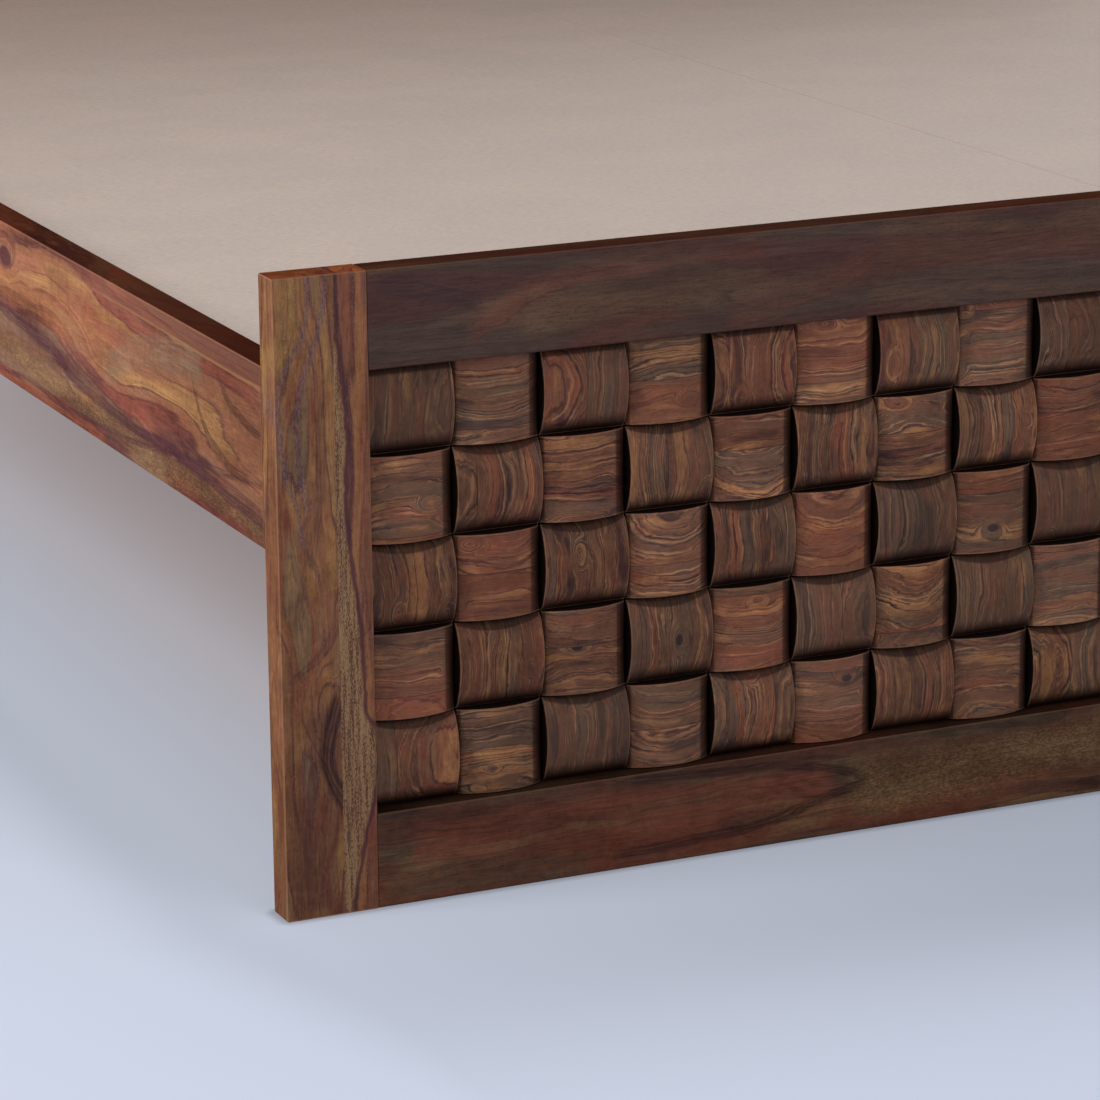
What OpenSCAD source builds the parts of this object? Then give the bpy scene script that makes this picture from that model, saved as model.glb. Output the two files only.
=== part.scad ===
// Platform bed frame in dark hardwood with a basket-weave block panel in its footboard and headboard.
// Millimetres. The origin is on the floor at the middle of the bed, +Z is up, the footboard's front
// looks along -Y and the headboard stands at +Y.

/* [Mattress space] */
// Clear width between the side rails
inner_w = 1830; // [1400:5:2000]
// Clear length between the footboard and the headboard
inner_l = 1982; // [1850:1:2150]

/* [Footboard and headboard frames] */
// Thickness of the posts and rails
board_t = 25; // [24:1:40]
// Width of a post seen from the front
post_w = 70; // [58:1:110]
// Width of the outer of the two staves that a post is glued from
stave_w = 44; // [32:1:50]
// Height of the top and bottom rails
rail_h = 70; // [60:1:110]
// How far the headboard's bottom rail reaches below the top of the deck
head_lap = 17; // [5:1:60]
// Bevel along the edges of the boards
bevel = 1; // [0.3:0.1:2]

/* [Mortise and tenon joints] */
// Length of a rail's tenon
tenon_l = 30; // [15:1:38]
// Height of a tenon
tenon_h = 40; // [25:1:48]
// Thickness of a tenon
tenon_t = 10; // [6:1:12]
// Distance from a rail's front to its tenon
tenon_set = 5; // [4:0.5:6]
// Glue gap round a tenon and at its end
tenon_gap = 0.2; // [0.1:0.05:0.5]

/* [Backing boards] */
// Thickness of the board that the blocks are glued to
backing_t = 6; // [4:0.5:8]
// Width of the rebate that holds a backing board
rebate_w = 10; // [7:0.5:14]
// Play round a backing board in its rebate
backing_play = 0.5; // [0.2:0.1:1]

/* [Basket-weave blocks] */
// Rows of blocks in the footboard
foot_rows = 5; // [5:1:7]
// Rows of blocks in the headboard
head_rows = 8; // [4:1:11]
// Blocks in a row
block_cols = 26; // [18:1:34]
// Height of a row
row_h = 64; // [58:1:80]
// Rise of a block from its low edges to its crown
crown_rise = 10.5; // [8:0.5:13]
// Thickness of a block at its low edges
block_edge_t = 2.6; // [1.5:0.1:4]
// Radius of the roll along a block's low edges
roll_r = 14; // [8:0.5:16]
// Slope where the roll meets the low edge, in degrees
roll_slope = 55; // [45:1:65]
// Crown radius as a share of the radius that would only touch the rolls
crown_share = 0.99; // [0.97:0.005:0.995]
// Gap between neighbouring blocks
block_gap = 0.8; // [0.4:0.1:2]

/* [Side rails and ledgers] */
// Thickness of a side rail
side_t = 25; // [22:1:40]
// Height of a side rail
side_h = 130; // [120:1:180]
// Height of the side rails above the floor
side_z = 265; // [200:1:300]
// Thickness of a ledger strip
ledger_t = 25; // [20:1:40]
// Height of a ledger strip
ledger_h = 35; // [25:1:50]
// Distance from a ledger's end to the footboard and to the headboard
ledger_end = 10; // [2:1:40]

/* [Deck] */
// Drop from the top of the side rails to the deck
deck_drop = 30; // [15:1:45]
// Thickness of the deck sheets
sheet_t = 12; // [9:1:18]
// Play between a sheet and what surrounds it
sheet_play = 1.5; // [0.5:0.5:5]
// Gap between the two sheets
seam_gap = 1; // [0.5:0.5:4]
// Number of slats under the sheets
slat_count = 8; // [5:1:11]
// Width of a slat
slat_w = 80; // [60:1:110]
// Thickness of a slat
slat_t = 20; // [16:1:28]
// Play at each end of a slat
slat_play = 2; // [1:0.5:5]
// Distance from the outer slats to the footboard and to the headboard
slat_end = 20; // [5:1:60]

/* [Centre beam and legs] */
// Width of the centre beam
beam_w = 50; // [40:1:70]
// Height of the centre beam
beam_h = 60; // [45:1:90]
// Distance from the beam's ends to the footboard and to the headboard
beam_end = 10; // [2:1:60]
// Side of a leg's square section
leg_w = 50; // [40:1:70]
// Distance from an end leg's middle to the footboard and to the headboard
leg_inset = 180; // [100:5:400]
// Number of legs
leg_count = 3; // [2:1:5]
// Side of the square tenon on a leg
stub_w = 26; // [16:1:34]
// Height of the tenon on a leg
stub_h = 25; // [12:1:35]

/* [Corner plates] */
// Thickness of the steel plates
plate_t = 2.5; // [2:0.1:4]
// Width of the plates
plate_w = 18; // [14:0.5:20]
// Height of the plates
plate_h = 100; // [96:1:112]
// Play round a plate in its recess
plate_play = 0.2; // [0.1:0.05:0.5]
// Thickness of a hook
hook_t = 3; // [2:0.1:4]
// Height of a hook's neck
hook_neck = 10; // [8:0.5:12]
// Reach of a hook's tip below its neck
hook_drop = 8; // [5:0.5:9]
// Thickness of a hook's tip
hook_lip = 3; // [2:0.1:4]
// Play behind and beside a hook
hook_play = 0.3; // [0.2:0.05:0.6]
// Distance between the tops of the two hooks
hook_pitch = 38; // [36:0.5:42]
// Distance between the screws of a plate
plate_screw_pitch = 84; // [80:1:90]

/* [Screws] */
// Shank diameter of the screws
screw_d = 4; // [3:0.1:5]
// Head diameter of the screws
screw_head_d = 7.6; // [6:0.1:9]
// Play between a screw and its hole
screw_play = 0.1; // [0.05:0.05:0.3]
// Depth of the hook plates' screws in the ends of the side rails
rail_bite = 37.5; // [20:0.5:60]
// Depth of the slot plates' screws in the posts
post_bite = 13.5; // [8:0.5:18]
// Depth of the ledgers' screws in the side rails
ledger_bite = 15; // [8:0.5:18]
// Depth of the slats' screws in the ledgers and the centre beam
slat_bite = 15; // [10:0.5:20]
// Shank diameter of the screws in the backing boards
backing_screw_d = 3; // [2:0.1:3.5]
// Head diameter of the screws in the backing boards
backing_screw_head_d = 5.6; // [4.5:0.1:6.5]
// Depth of the backing boards' screws in the posts and rails
backing_bite = 10; // [5:0.5:14]
// Screws along each long edge of a backing board
backing_screw_cols = 9; // [4:1:16]
// Screws along each short edge of a backing board
backing_screw_rows = 3; // [2:1:5]

/* [Hidden] */
$fn = 48;

// Overall sizes and the panel between the posts
total_w = inner_w + 2 * side_t;
total_l = inner_l + 2 * board_t;
panel_w = total_w - 2 * post_w;
foot_panel_z = rail_h;
foot_panel_h = foot_rows * row_h;
foot_h = foot_panel_h + 2 * rail_h;
foot_y = -total_l / 2;
head_y = total_l / 2 - board_t;

// Levels of the deck, from the top down
deck_z = side_z + side_h - deck_drop;
slat_top = deck_z - sheet_t;
slat_z = slat_top - slat_t;
ledger_z = slat_z - ledger_h;
beam_z = slat_z - beam_h;
slat_first = -inner_l / 2 + slat_end + slat_w / 2;
slat_pitch = (inner_l - 2 * slat_end - slat_w) / (slat_count - 1);
leg_pitch = (inner_l - 2 * leg_inset) / (leg_count - 1);
ledger_x = inner_w / 2 - ledger_t;

// Levels of the headboard, from its bottom rail up
head_rail_z = deck_z - head_lap;
head_panel_z = head_rail_z + rail_h;
head_panel_h = head_rows * row_h;
head_h = head_panel_z + head_panel_h + rail_h;

// Block profile: a wide crown arc, and a roll along each low edge. An arc of radius touch_r would
// only touch the rolls; the crown is a little tighter, so that it crosses them.
block_pitch = panel_w / block_cols;
block_back = board_t - backing_t;
roll_z = -roll_r * cos(roll_slope);
function half_span(pitch) = (pitch - block_gap) / 2;
function roll_x(pitch) = half_span(pitch) - roll_r * sin(roll_slope);
function touch_r(pitch) = let (d = crown_rise - roll_z)
    (pow(roll_x(pitch), 2) + d * d - roll_r * roll_r) / (2 * (d - roll_r));
function crown_r(pitch) = crown_share * touch_r(pitch);
function crown_half(pitch) = touch_r(pitch) * roll_x(pitch) / (touch_r(pitch) - roll_r);

// Corner plates, measured from the middle of a side rail's end
corner_z = side_z + side_h / 2;
hook_tops = [for (way = [1, -1]) (hook_neck + way * hook_pitch) / 2];
hook_reach = plate_t + hook_play + hook_lip;
hook_h = hook_neck + hook_drop;
slot_h = hook_h + 2 * hook_play;

// Lengths of the screws, through what they hold and into what carries it
rail_screw_l = plate_t + rail_bite;
post_screw_l = plate_t + post_bite;
ledger_screw_l = ledger_t + ledger_bite;
slat_screw_l = slat_t + slat_bite;
backing_screw_l = backing_t + backing_bite;

wood = [0.42, 0.27, 0.20];
dark_wood = [0.30, 0.20, 0.17];
ply = [0.70, 0.62, 0.56];
pale_wood = [0.66, 0.50, 0.34];
zinc = [0.72, 0.72, 0.70];

// How far a cut runs past the face that it opens
past = 1;

// Shared shapes

// Rectangle with its corners cut by the bevel
module beveled(w, h) {
    polygon([[bevel, 0], [w - bevel, 0], [w, bevel], [w, h - bevel],
             [w - bevel, h], [bevel, h], [0, h - bevel], [0, bevel]]);
}

// Board along X with beveled long edges
module board_x(l, t, h) {
    rotate([90, 0, 90]) linear_extrude(l) beveled(t, h);
}

// Board along Y with beveled long edges
module board_y(l, t, h) {
    translate([0, l, 0]) rotate([90, 0, 0]) linear_extrude(l) beveled(t, h);
}

// Countersunk wood screw that points down from its head's top at the origin.
// grow widens it all round and lengthens it, which makes its hole.
module screw(d, head_d, l, grow = 0) {
    r = d / 2 + grow;
    head_r = head_d / 2 + grow;
    end = l + grow;
    rotate_extrude()
        polygon([[0, 0], [head_r, 0], [r, r - head_r], [r, r - end], [0, -end]]);
}

module screw_hole(d, head_d, l) {
    screw(d, head_d, l, screw_play);
}

// Places at the four corners, turned so that +Y runs into the side rail from its end
module at_corners() {
    for (side = [-1, 1], end = [-1, 1])
        translate([side * (inner_w + side_t) / 2, end * inner_l / 2, corner_z])
            rotate([0, 0, end > 0 ? 180 : 0]) children();
}

// Posts

// Post with its outer edge at X = 0 and its front at Y = 0
module post_blank(h) {
    intersection() {
        linear_extrude(h) beveled(post_w, board_t);
        translate([0, board_t, 0]) rotate([90, 0, 0]) linear_extrude(board_t) beveled(post_w, h);
    }
}

// Mortises for the rails at the given heights, and the rebate for the backing board
module post_cuts(rail_zs, panel_z, panel_h) {
    for (z = rail_zs)
        translate([post_w - tenon_l - tenon_gap, tenon_set - tenon_gap,
                   z + (rail_h - tenon_h) / 2 - tenon_gap])
            cube([tenon_l + tenon_gap + past, tenon_t + 2 * tenon_gap, tenon_h + 2 * tenon_gap]);
    translate([post_w - rebate_w, board_t - backing_t, panel_z - rebate_w])
        cube([rebate_w + past, backing_t + past, panel_h + 2 * rebate_w]);
}

// One of the two staves that a post is split into
module stave(outer, h, rail_zs, panel_z, panel_h) {
    difference() {
        intersection() {
            post_blank(h);
            translate([outer ? -past : stave_w, -past, -past])
                cube([outer ? stave_w + past : post_w - stave_w + past,
                      board_t + 2 * past, h + 2 * past]);
        }
        post_cuts(rail_zs, panel_z, panel_h);
    }
}

// A stave in place: side is -1 on the left and 1 on the right
module placed_stave(side, y, outer, h, rail_zs, panel_z, panel_h) {
    color(wood) difference() {
        mirror([side > 0 ? 1 : 0, 0, 0])
            translate([-total_w / 2, y, 0]) stave(outer, h, rail_zs, panel_z, panel_h);
        at_corners() slot_plate_recess();
        screw_places(panel_z, panel_h, y)
            screw_hole(backing_screw_d, backing_screw_head_d, backing_screw_l);
    }
}

module foot_stave(side, outer) {
    placed_stave(side, foot_y, outer, foot_h, [0, foot_panel_z + foot_panel_h],
                 foot_panel_z, foot_panel_h);
}

module head_stave(side, outer) {
    placed_stave(side, head_y, outer, head_h, [head_rail_z, head_panel_z + head_panel_h],
                 head_panel_z, head_panel_h);
}

// Top and bottom rails

// Rail between two posts, from X = 0, with the rebate along the edge that faces the panel
module cross_rail(panel_above) {
    difference() {
        board_x(panel_w, board_t, rail_h);
        translate([-past, board_t - backing_t, panel_above ? rail_h - rebate_w : -past])
            cube([panel_w + 2 * past, backing_t + past, rebate_w + past]);
    }
    for (x = [-tenon_l, panel_w - past])
        translate([x, tenon_set, (rail_h - tenon_h) / 2])
            cube([tenon_l + past, tenon_t, tenon_h]);
}

module placed_rail(y, z, panel_above, panel_z, panel_h) {
    color(dark_wood) difference() {
        translate([-panel_w / 2, y, z]) cross_rail(panel_above);
        screw_places(panel_z, panel_h, y)
            screw_hole(backing_screw_d, backing_screw_head_d, backing_screw_l);
    }
}

// Backing boards and their screws

// Places of the screws round a backing board, pointing forward into the rebate
module screw_places(panel_z, panel_h, y) {
    x_pitch = panel_w / backing_screw_cols;
    z_pitch = panel_h / backing_screw_rows;
    for (i = [0 : backing_screw_cols - 1], z = [-rebate_w / 2, panel_h + rebate_w / 2])
        translate([(i + 0.5) * x_pitch - panel_w / 2, y + board_t, panel_z + z])
            rotate([-90, 0, 0]) children();
    for (i = [0 : backing_screw_rows - 1], side = [-1, 1])
        translate([side * (panel_w + rebate_w) / 2, y + board_t, panel_z + (i + 0.5) * z_pitch])
            rotate([-90, 0, 0]) children();
}

module backing_board(y, panel_z, panel_h) {
    lap = rebate_w - backing_play;
    color(pale_wood) difference() {
        translate([-panel_w / 2 - lap, y + block_back, panel_z - lap])
            cube([panel_w + 2 * lap, backing_t, panel_h + 2 * lap]);
        screw_places(panel_z, panel_h, y)
            screw_hole(backing_screw_d, backing_screw_head_d, backing_screw_l);
    }
}

// Basket-weave blocks

// Section of a block: X along its span, Y up from its back to its crown
module block_section(pitch) {
    a = half_span(pitch);
    h = block_edge_t + crown_rise;
    intersection() {
        translate([0, h - crown_r(pitch)]) circle(crown_r(pitch));
        union() {
            translate([-crown_half(pitch), -past]) square([2 * crown_half(pitch), h + 2 * past]);
            for (side = [-1, 1])
                translate([side * roll_x(pitch), block_edge_t + roll_z]) circle(roll_r);
        }
        translate([-a, 0]) square([2 * a, h + past]);
    }
}

// Block with upright grain: its crown runs from side to side, its low edges are at top and bottom
module upright_block() {
    translate([-half_span(block_pitch), 0, 0]) rotate([0, -90, 180])
        linear_extrude(2 * half_span(block_pitch)) block_section(row_h);
}

// Block with crosswise grain: its crown runs upright, its low edges are at left and right
module crosswise_block() {
    translate([0, 0, -half_span(row_h)]) rotate([0, 0, 180])
        linear_extrude(2 * half_span(row_h)) block_section(block_pitch);
}

// All the blocks of one kind in a panel. They start with an upright one at the top left.
module block_field(upright, rows, y, panel_z) {
    for (row = [1 : rows], col = [1 : block_cols])
        if (((row + col) % 2 == 0) == upright)
            translate([(col - 0.5) * block_pitch - panel_w / 2, y + block_back,
                       panel_z + (rows - row + 0.5) * row_h])
                if (upright) upright_block(); else crosswise_block();
}

// Side rails and ledgers

module side_rail(side) {
    color(wood) difference() {
        translate([side * (inner_w + side_t) / 2 - side_t / 2, -inner_l / 2, side_z])
            board_y(inner_l, side_t, side_h);
        at_corners() hook_plate_recess();
        ledger_screw_places(side) screw_hole(screw_d, screw_head_d, ledger_screw_l);
    }
}

module ledger(side) {
    color(pale_wood) difference() {
        translate([side > 0 ? ledger_x : -ledger_x - ledger_t, -inner_l / 2 + ledger_end, ledger_z])
            board_y(inner_l - 2 * ledger_end, ledger_t, ledger_h);
        ledger_screw_places(side) screw_hole(screw_d, screw_head_d, ledger_screw_l);
        slat_screw_places() screw_hole(screw_d, screw_head_d, slat_screw_l);
    }
}

// Places of the screws through a ledger, midway between the slats and pointing outward
module ledger_screw_places(side) {
    for (i = [0 : slat_count - 2])
        translate([side * ledger_x, slat_first + (i + 0.5) * slat_pitch, ledger_z + ledger_h / 2])
            rotate([0, side > 0 ? -90 : 90, 0]) children();
}

// Deck sheets and slats

module deck_sheet(side) {
    w = (inner_w - seam_gap) / 2 - sheet_play;
    color(ply)
        translate([side > 0 ? seam_gap / 2 : -seam_gap / 2 - w, -inner_l / 2 + sheet_play, slat_top])
            cube([w, inner_l - 2 * sheet_play, sheet_t]);
}

module slat(i) {
    l = inner_w - 2 * slat_play;
    color(pale_wood) difference() {
        translate([-l / 2, slat_first + (i - 1) * slat_pitch - slat_w / 2, slat_z])
            board_x(l, slat_w, slat_t);
        slat_screw_places() screw_hole(screw_d, screw_head_d, slat_screw_l);
    }
}

// Places of the screws through the slats, over both ledgers and the centre beam
module slat_screw_places() {
    for (i = [0 : slat_count - 1], x = [-ledger_x - ledger_t / 2, 0, ledger_x + ledger_t / 2])
        translate([x, slat_first + i * slat_pitch, slat_top]) children();
}

// Centre beam and legs

module at_legs() {
    for (i = [0 : leg_count - 1])
        translate([0, -inner_l / 2 + leg_inset + i * leg_pitch, 0]) children();
}

module centre_beam() {
    color(pale_wood) difference() {
        translate([-beam_w / 2, -inner_l / 2 + beam_end, beam_z])
            board_y(inner_l - 2 * beam_end, beam_w, beam_h);
        at_legs() translate([-stub_w / 2 - tenon_gap, -stub_w / 2 - tenon_gap, beam_z - past])
            cube([stub_w + 2 * tenon_gap, stub_w + 2 * tenon_gap, stub_h + tenon_gap + past]);
        slat_screw_places() screw_hole(screw_d, screw_head_d, slat_screw_l);
    }
}

module centre_leg(i) {
    color(pale_wood) translate([0, -inner_l / 2 + leg_inset + (i - 1) * leg_pitch, 0]) {
        translate([-leg_w / 2, -leg_w / 2, 0]) linear_extrude(beam_z) beveled(leg_w, leg_w);
        translate([-stub_w / 2, -stub_w / 2, beam_z - past])
            cube([stub_w, stub_w, stub_h + past]);
    }
}

// Corner plates

module plate_screw_places() {
    for (z = [-plate_screw_pitch / 2, plate_screw_pitch / 2])
        translate([0, 0, z]) rotate([-90, 0, 0]) children();
}

// Plate in the end of a side rail. Its face is at Y = 0, and its hooks reach into the post.
module hook_plate() {
    difference() {
        translate([-plate_w / 2, 0, -plate_h / 2]) cube([plate_w, plate_t, plate_h]);
        plate_screw_places() mirror([0, 0, 1]) screw_hole(screw_d, screw_head_d, rail_screw_l);
    }
    for (z = hook_tops)
        translate([hook_t / 2, 0, z]) rotate([90, 0, -90]) linear_extrude(hook_t)
            polygon([[-plate_t / 2, 0], [hook_reach, 0], [hook_reach, -hook_h],
                     [hook_reach - hook_lip, -hook_h], [hook_reach - hook_lip, -hook_neck],
                     [-plate_t / 2, -hook_neck]]);
}

// Plate in a post, with the slots that the hooks drop into
module slot_plate() {
    difference() {
        translate([-plate_w / 2, -plate_t, -plate_h / 2]) cube([plate_w, plate_t, plate_h]);
        plate_screw_places() screw_hole(screw_d, screw_head_d, post_screw_l);
        for (z = hook_tops)
            translate([-hook_t / 2 - hook_play, -plate_t - past, z - hook_neck])
                cube([hook_t + 2 * hook_play, plate_t + 2 * past, slot_h]);
    }
}

module hook_plate_recess() {
    translate([-plate_w / 2 - plate_play, -past, -plate_h / 2 - plate_play])
        cube([plate_w + 2 * plate_play, plate_t + past, plate_h + 2 * plate_play]);
    plate_screw_places() mirror([0, 0, 1]) screw_hole(screw_d, screw_head_d, rail_screw_l);
}

// Recess for a slot plate, with a pocket behind each slot that the hook can drop in
module slot_plate_recess() {
    translate([-plate_w / 2 - plate_play, -plate_t, -plate_h / 2 - plate_play])
        cube([plate_w + 2 * plate_play, plate_t + past, plate_h + 2 * plate_play]);
    plate_screw_places() screw_hole(screw_d, screw_head_d, post_screw_l);
    for (z = hook_tops)
        translate([-hook_t / 2 - 2 * hook_play, -hook_reach - 2 * hook_play, z - hook_h - hook_play])
            cube([hook_t + 4 * hook_play, hook_reach, hook_h + hook_drop + 3 * hook_play]);
}

module hook_plates() { color(zinc) at_corners() hook_plate(); }
module slot_plates() { color(zinc) at_corners() slot_plate(); }

// Screws

module hook_plate_screws() {
    color(zinc) at_corners() plate_screw_places()
        mirror([0, 0, 1]) screw(screw_d, screw_head_d, rail_screw_l);
}

module slot_plate_screws() {
    color(zinc) at_corners() plate_screw_places() screw(screw_d, screw_head_d, post_screw_l);
}

module ledger_screws() {
    color(zinc) for (side = [-1, 1])
        ledger_screw_places(side) screw(screw_d, screw_head_d, ledger_screw_l);
}

module slat_screws() {
    color(zinc) slat_screw_places() screw(screw_d, screw_head_d, slat_screw_l);
}

module backing_screws() {
    color(zinc) {
        screw_places(foot_panel_z, foot_panel_h, foot_y)
            screw(backing_screw_d, backing_screw_head_d, backing_screw_l);
        screw_places(head_panel_z, head_panel_h, head_y)
            screw(backing_screw_d, backing_screw_head_d, backing_screw_l);
    }
}

module foot_left_outer_stave() { foot_stave(-1, true); }
module foot_left_inner_stave() { foot_stave(-1, false); }
module foot_right_inner_stave() { foot_stave(1, false); }
module foot_right_outer_stave() { foot_stave(1, true); }
module head_left_outer_stave() { head_stave(-1, true); }
module head_left_inner_stave() { head_stave(-1, false); }
module head_right_inner_stave() { head_stave(1, false); }
module head_right_outer_stave() { head_stave(1, true); }

module foot_top_rail() {
    placed_rail(foot_y, foot_panel_z + foot_panel_h, false, foot_panel_z, foot_panel_h);
}

module foot_bottom_rail() { placed_rail(foot_y, 0, true, foot_panel_z, foot_panel_h); }

module head_top_rail() {
    placed_rail(head_y, head_panel_z + head_panel_h, false, head_panel_z, head_panel_h);
}

module head_bottom_rail() {
    placed_rail(head_y, head_rail_z, true, head_panel_z, head_panel_h);
}

module foot_backing_board() { backing_board(foot_y, foot_panel_z, foot_panel_h); }
module head_backing_board() { backing_board(head_y, head_panel_z, head_panel_h); }

module foot_upright_blocks() {
    color(wood) block_field(true, foot_rows, foot_y, foot_panel_z);
}

module foot_crosswise_blocks() {
    color(wood) block_field(false, foot_rows, foot_y, foot_panel_z);
}

module head_upright_blocks() {
    color(wood) block_field(true, head_rows, head_y, head_panel_z);
}

module head_crosswise_blocks() {
    color(wood) block_field(false, head_rows, head_y, head_panel_z);
}

foot_left_outer_stave();
foot_left_inner_stave();
foot_right_inner_stave();
foot_right_outer_stave();
foot_top_rail();
foot_bottom_rail();
foot_backing_board();
foot_upright_blocks();
foot_crosswise_blocks();
head_left_outer_stave();
head_left_inner_stave();
head_right_inner_stave();
head_right_outer_stave();
head_top_rail();
head_bottom_rail();
head_backing_board();
head_upright_blocks();
head_crosswise_blocks();
side_rail(-1);  // left_side_rail
side_rail(1);  // right_side_rail
ledger(-1);  // left_ledger
ledger(1);  // right_ledger
deck_sheet(-1);  // left_deck_sheet
deck_sheet(1);  // right_deck_sheet
centre_beam();
for (i = [1 : slat_count]) slat(i);
for (i = [1 : leg_count]) centre_leg(i);
hook_plates();
slot_plates();
hook_plate_screws();
slot_plate_screws();
ledger_screws();
slat_screws();
backing_screws();
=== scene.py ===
"""Looks of a platform bed frame: finishes for its parts and the pieces modelled over them.

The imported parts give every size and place. All lengths are metres unless a name ends in _mm,
and the patterns of the wood are worked out in millimetres.
"""

import logging
import math
from dataclasses import dataclass, replace
from enum import Enum
from typing import Callable, Dict, List, Optional, Sequence, Tuple, Union

import bpy
from mathutils import Matrix, Vector


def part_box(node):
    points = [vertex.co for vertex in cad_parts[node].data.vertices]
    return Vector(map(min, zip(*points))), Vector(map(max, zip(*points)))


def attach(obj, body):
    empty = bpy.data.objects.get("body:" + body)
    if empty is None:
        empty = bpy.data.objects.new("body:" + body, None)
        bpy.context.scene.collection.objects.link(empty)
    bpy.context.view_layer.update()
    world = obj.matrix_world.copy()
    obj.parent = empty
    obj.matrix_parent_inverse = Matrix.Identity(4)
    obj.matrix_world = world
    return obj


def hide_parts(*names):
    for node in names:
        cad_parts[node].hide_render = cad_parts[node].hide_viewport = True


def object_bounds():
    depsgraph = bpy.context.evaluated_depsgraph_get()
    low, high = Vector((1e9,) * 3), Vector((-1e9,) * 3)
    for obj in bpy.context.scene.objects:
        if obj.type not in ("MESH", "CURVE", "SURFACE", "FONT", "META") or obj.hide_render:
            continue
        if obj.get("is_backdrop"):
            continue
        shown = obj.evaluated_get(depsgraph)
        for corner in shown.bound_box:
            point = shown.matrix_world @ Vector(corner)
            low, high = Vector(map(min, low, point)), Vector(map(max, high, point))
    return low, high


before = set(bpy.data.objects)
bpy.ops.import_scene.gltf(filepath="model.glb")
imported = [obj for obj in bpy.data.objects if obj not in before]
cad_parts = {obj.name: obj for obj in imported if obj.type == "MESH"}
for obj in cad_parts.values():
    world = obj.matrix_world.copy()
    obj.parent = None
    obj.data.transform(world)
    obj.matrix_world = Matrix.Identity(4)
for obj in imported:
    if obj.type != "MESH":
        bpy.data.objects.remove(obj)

Colour = Tuple[int, int, int]
Number = Union[float, "Wire"]
Line = Sequence[Tuple[float, float]]
Inputs = Dict[Union[str, int], object]
LOG = logging.getLogger("bed_frame")
MM = 0.001
TINY = 1e-6
QUARTER_TURN = math.radians(90)
SMOOTH_ANGLE = math.radians(38)
CURVE_WIDTH_MM = 200.0
SENSOR_MM = 36.0
PHOTO_PIXELS = 1100
FOCAL_PIXELS = 4359.6
VIEW_REACH = 200.0


def linear(colour: Colour) -> Tuple[float, float, float, float]:
    """Turns a display colour into the linear colour that a shader takes.

    Args:
        colour: Red, green and blue from 0 to 255.

    Returns:
        The linear red, green, blue and alpha.
    """
    def one(level: int) -> float:
        """Gives one channel's linear value."""
        share = level / 255
        return share / 12.92 if share <= 0.04045 else ((share + 0.055) / 1.055) ** 2.4
    return (*(one(level) for level in colour), 1.0)


class Wire:
    """A value that flows through a material's nodes, and that sums and products can use."""

    def __init__(self, sheet: "NodeSheet", socket: bpy.types.NodeSocket) -> None:
        """Keeps the sheet and the socket that the value comes out of."""
        self.sheet = sheet
        self.socket = socket

    def __add__(self, other: Number) -> "Wire":
        """Adds two values."""
        return self.sheet.math("ADD", self, other)

    def __sub__(self, other: Number) -> "Wire":
        """Takes the other value from this one."""
        return self.sheet.math("SUBTRACT", self, other)

    def __rsub__(self, other: Number) -> "Wire":
        """Takes this value from the other one."""
        return self.sheet.math("SUBTRACT", other, self)

    def __mul__(self, other: Number) -> "Wire":
        """Multiplies two values."""
        return self.sheet.math("MULTIPLY", self, other)

    def __truediv__(self, other: Number) -> "Wire":
        """Divides this value by the other one."""
        return self.sheet.math("DIVIDE", self, other)

    def floor(self) -> "Wire":
        """Rounds down to a whole number."""
        return self.sheet.math("FLOOR", self)

    def size(self) -> "Wire":
        """Drops the sign."""
        return self.sheet.math("ABSOLUTE", self)


Three = Tuple[Wire, Wire, Wire]


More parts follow.
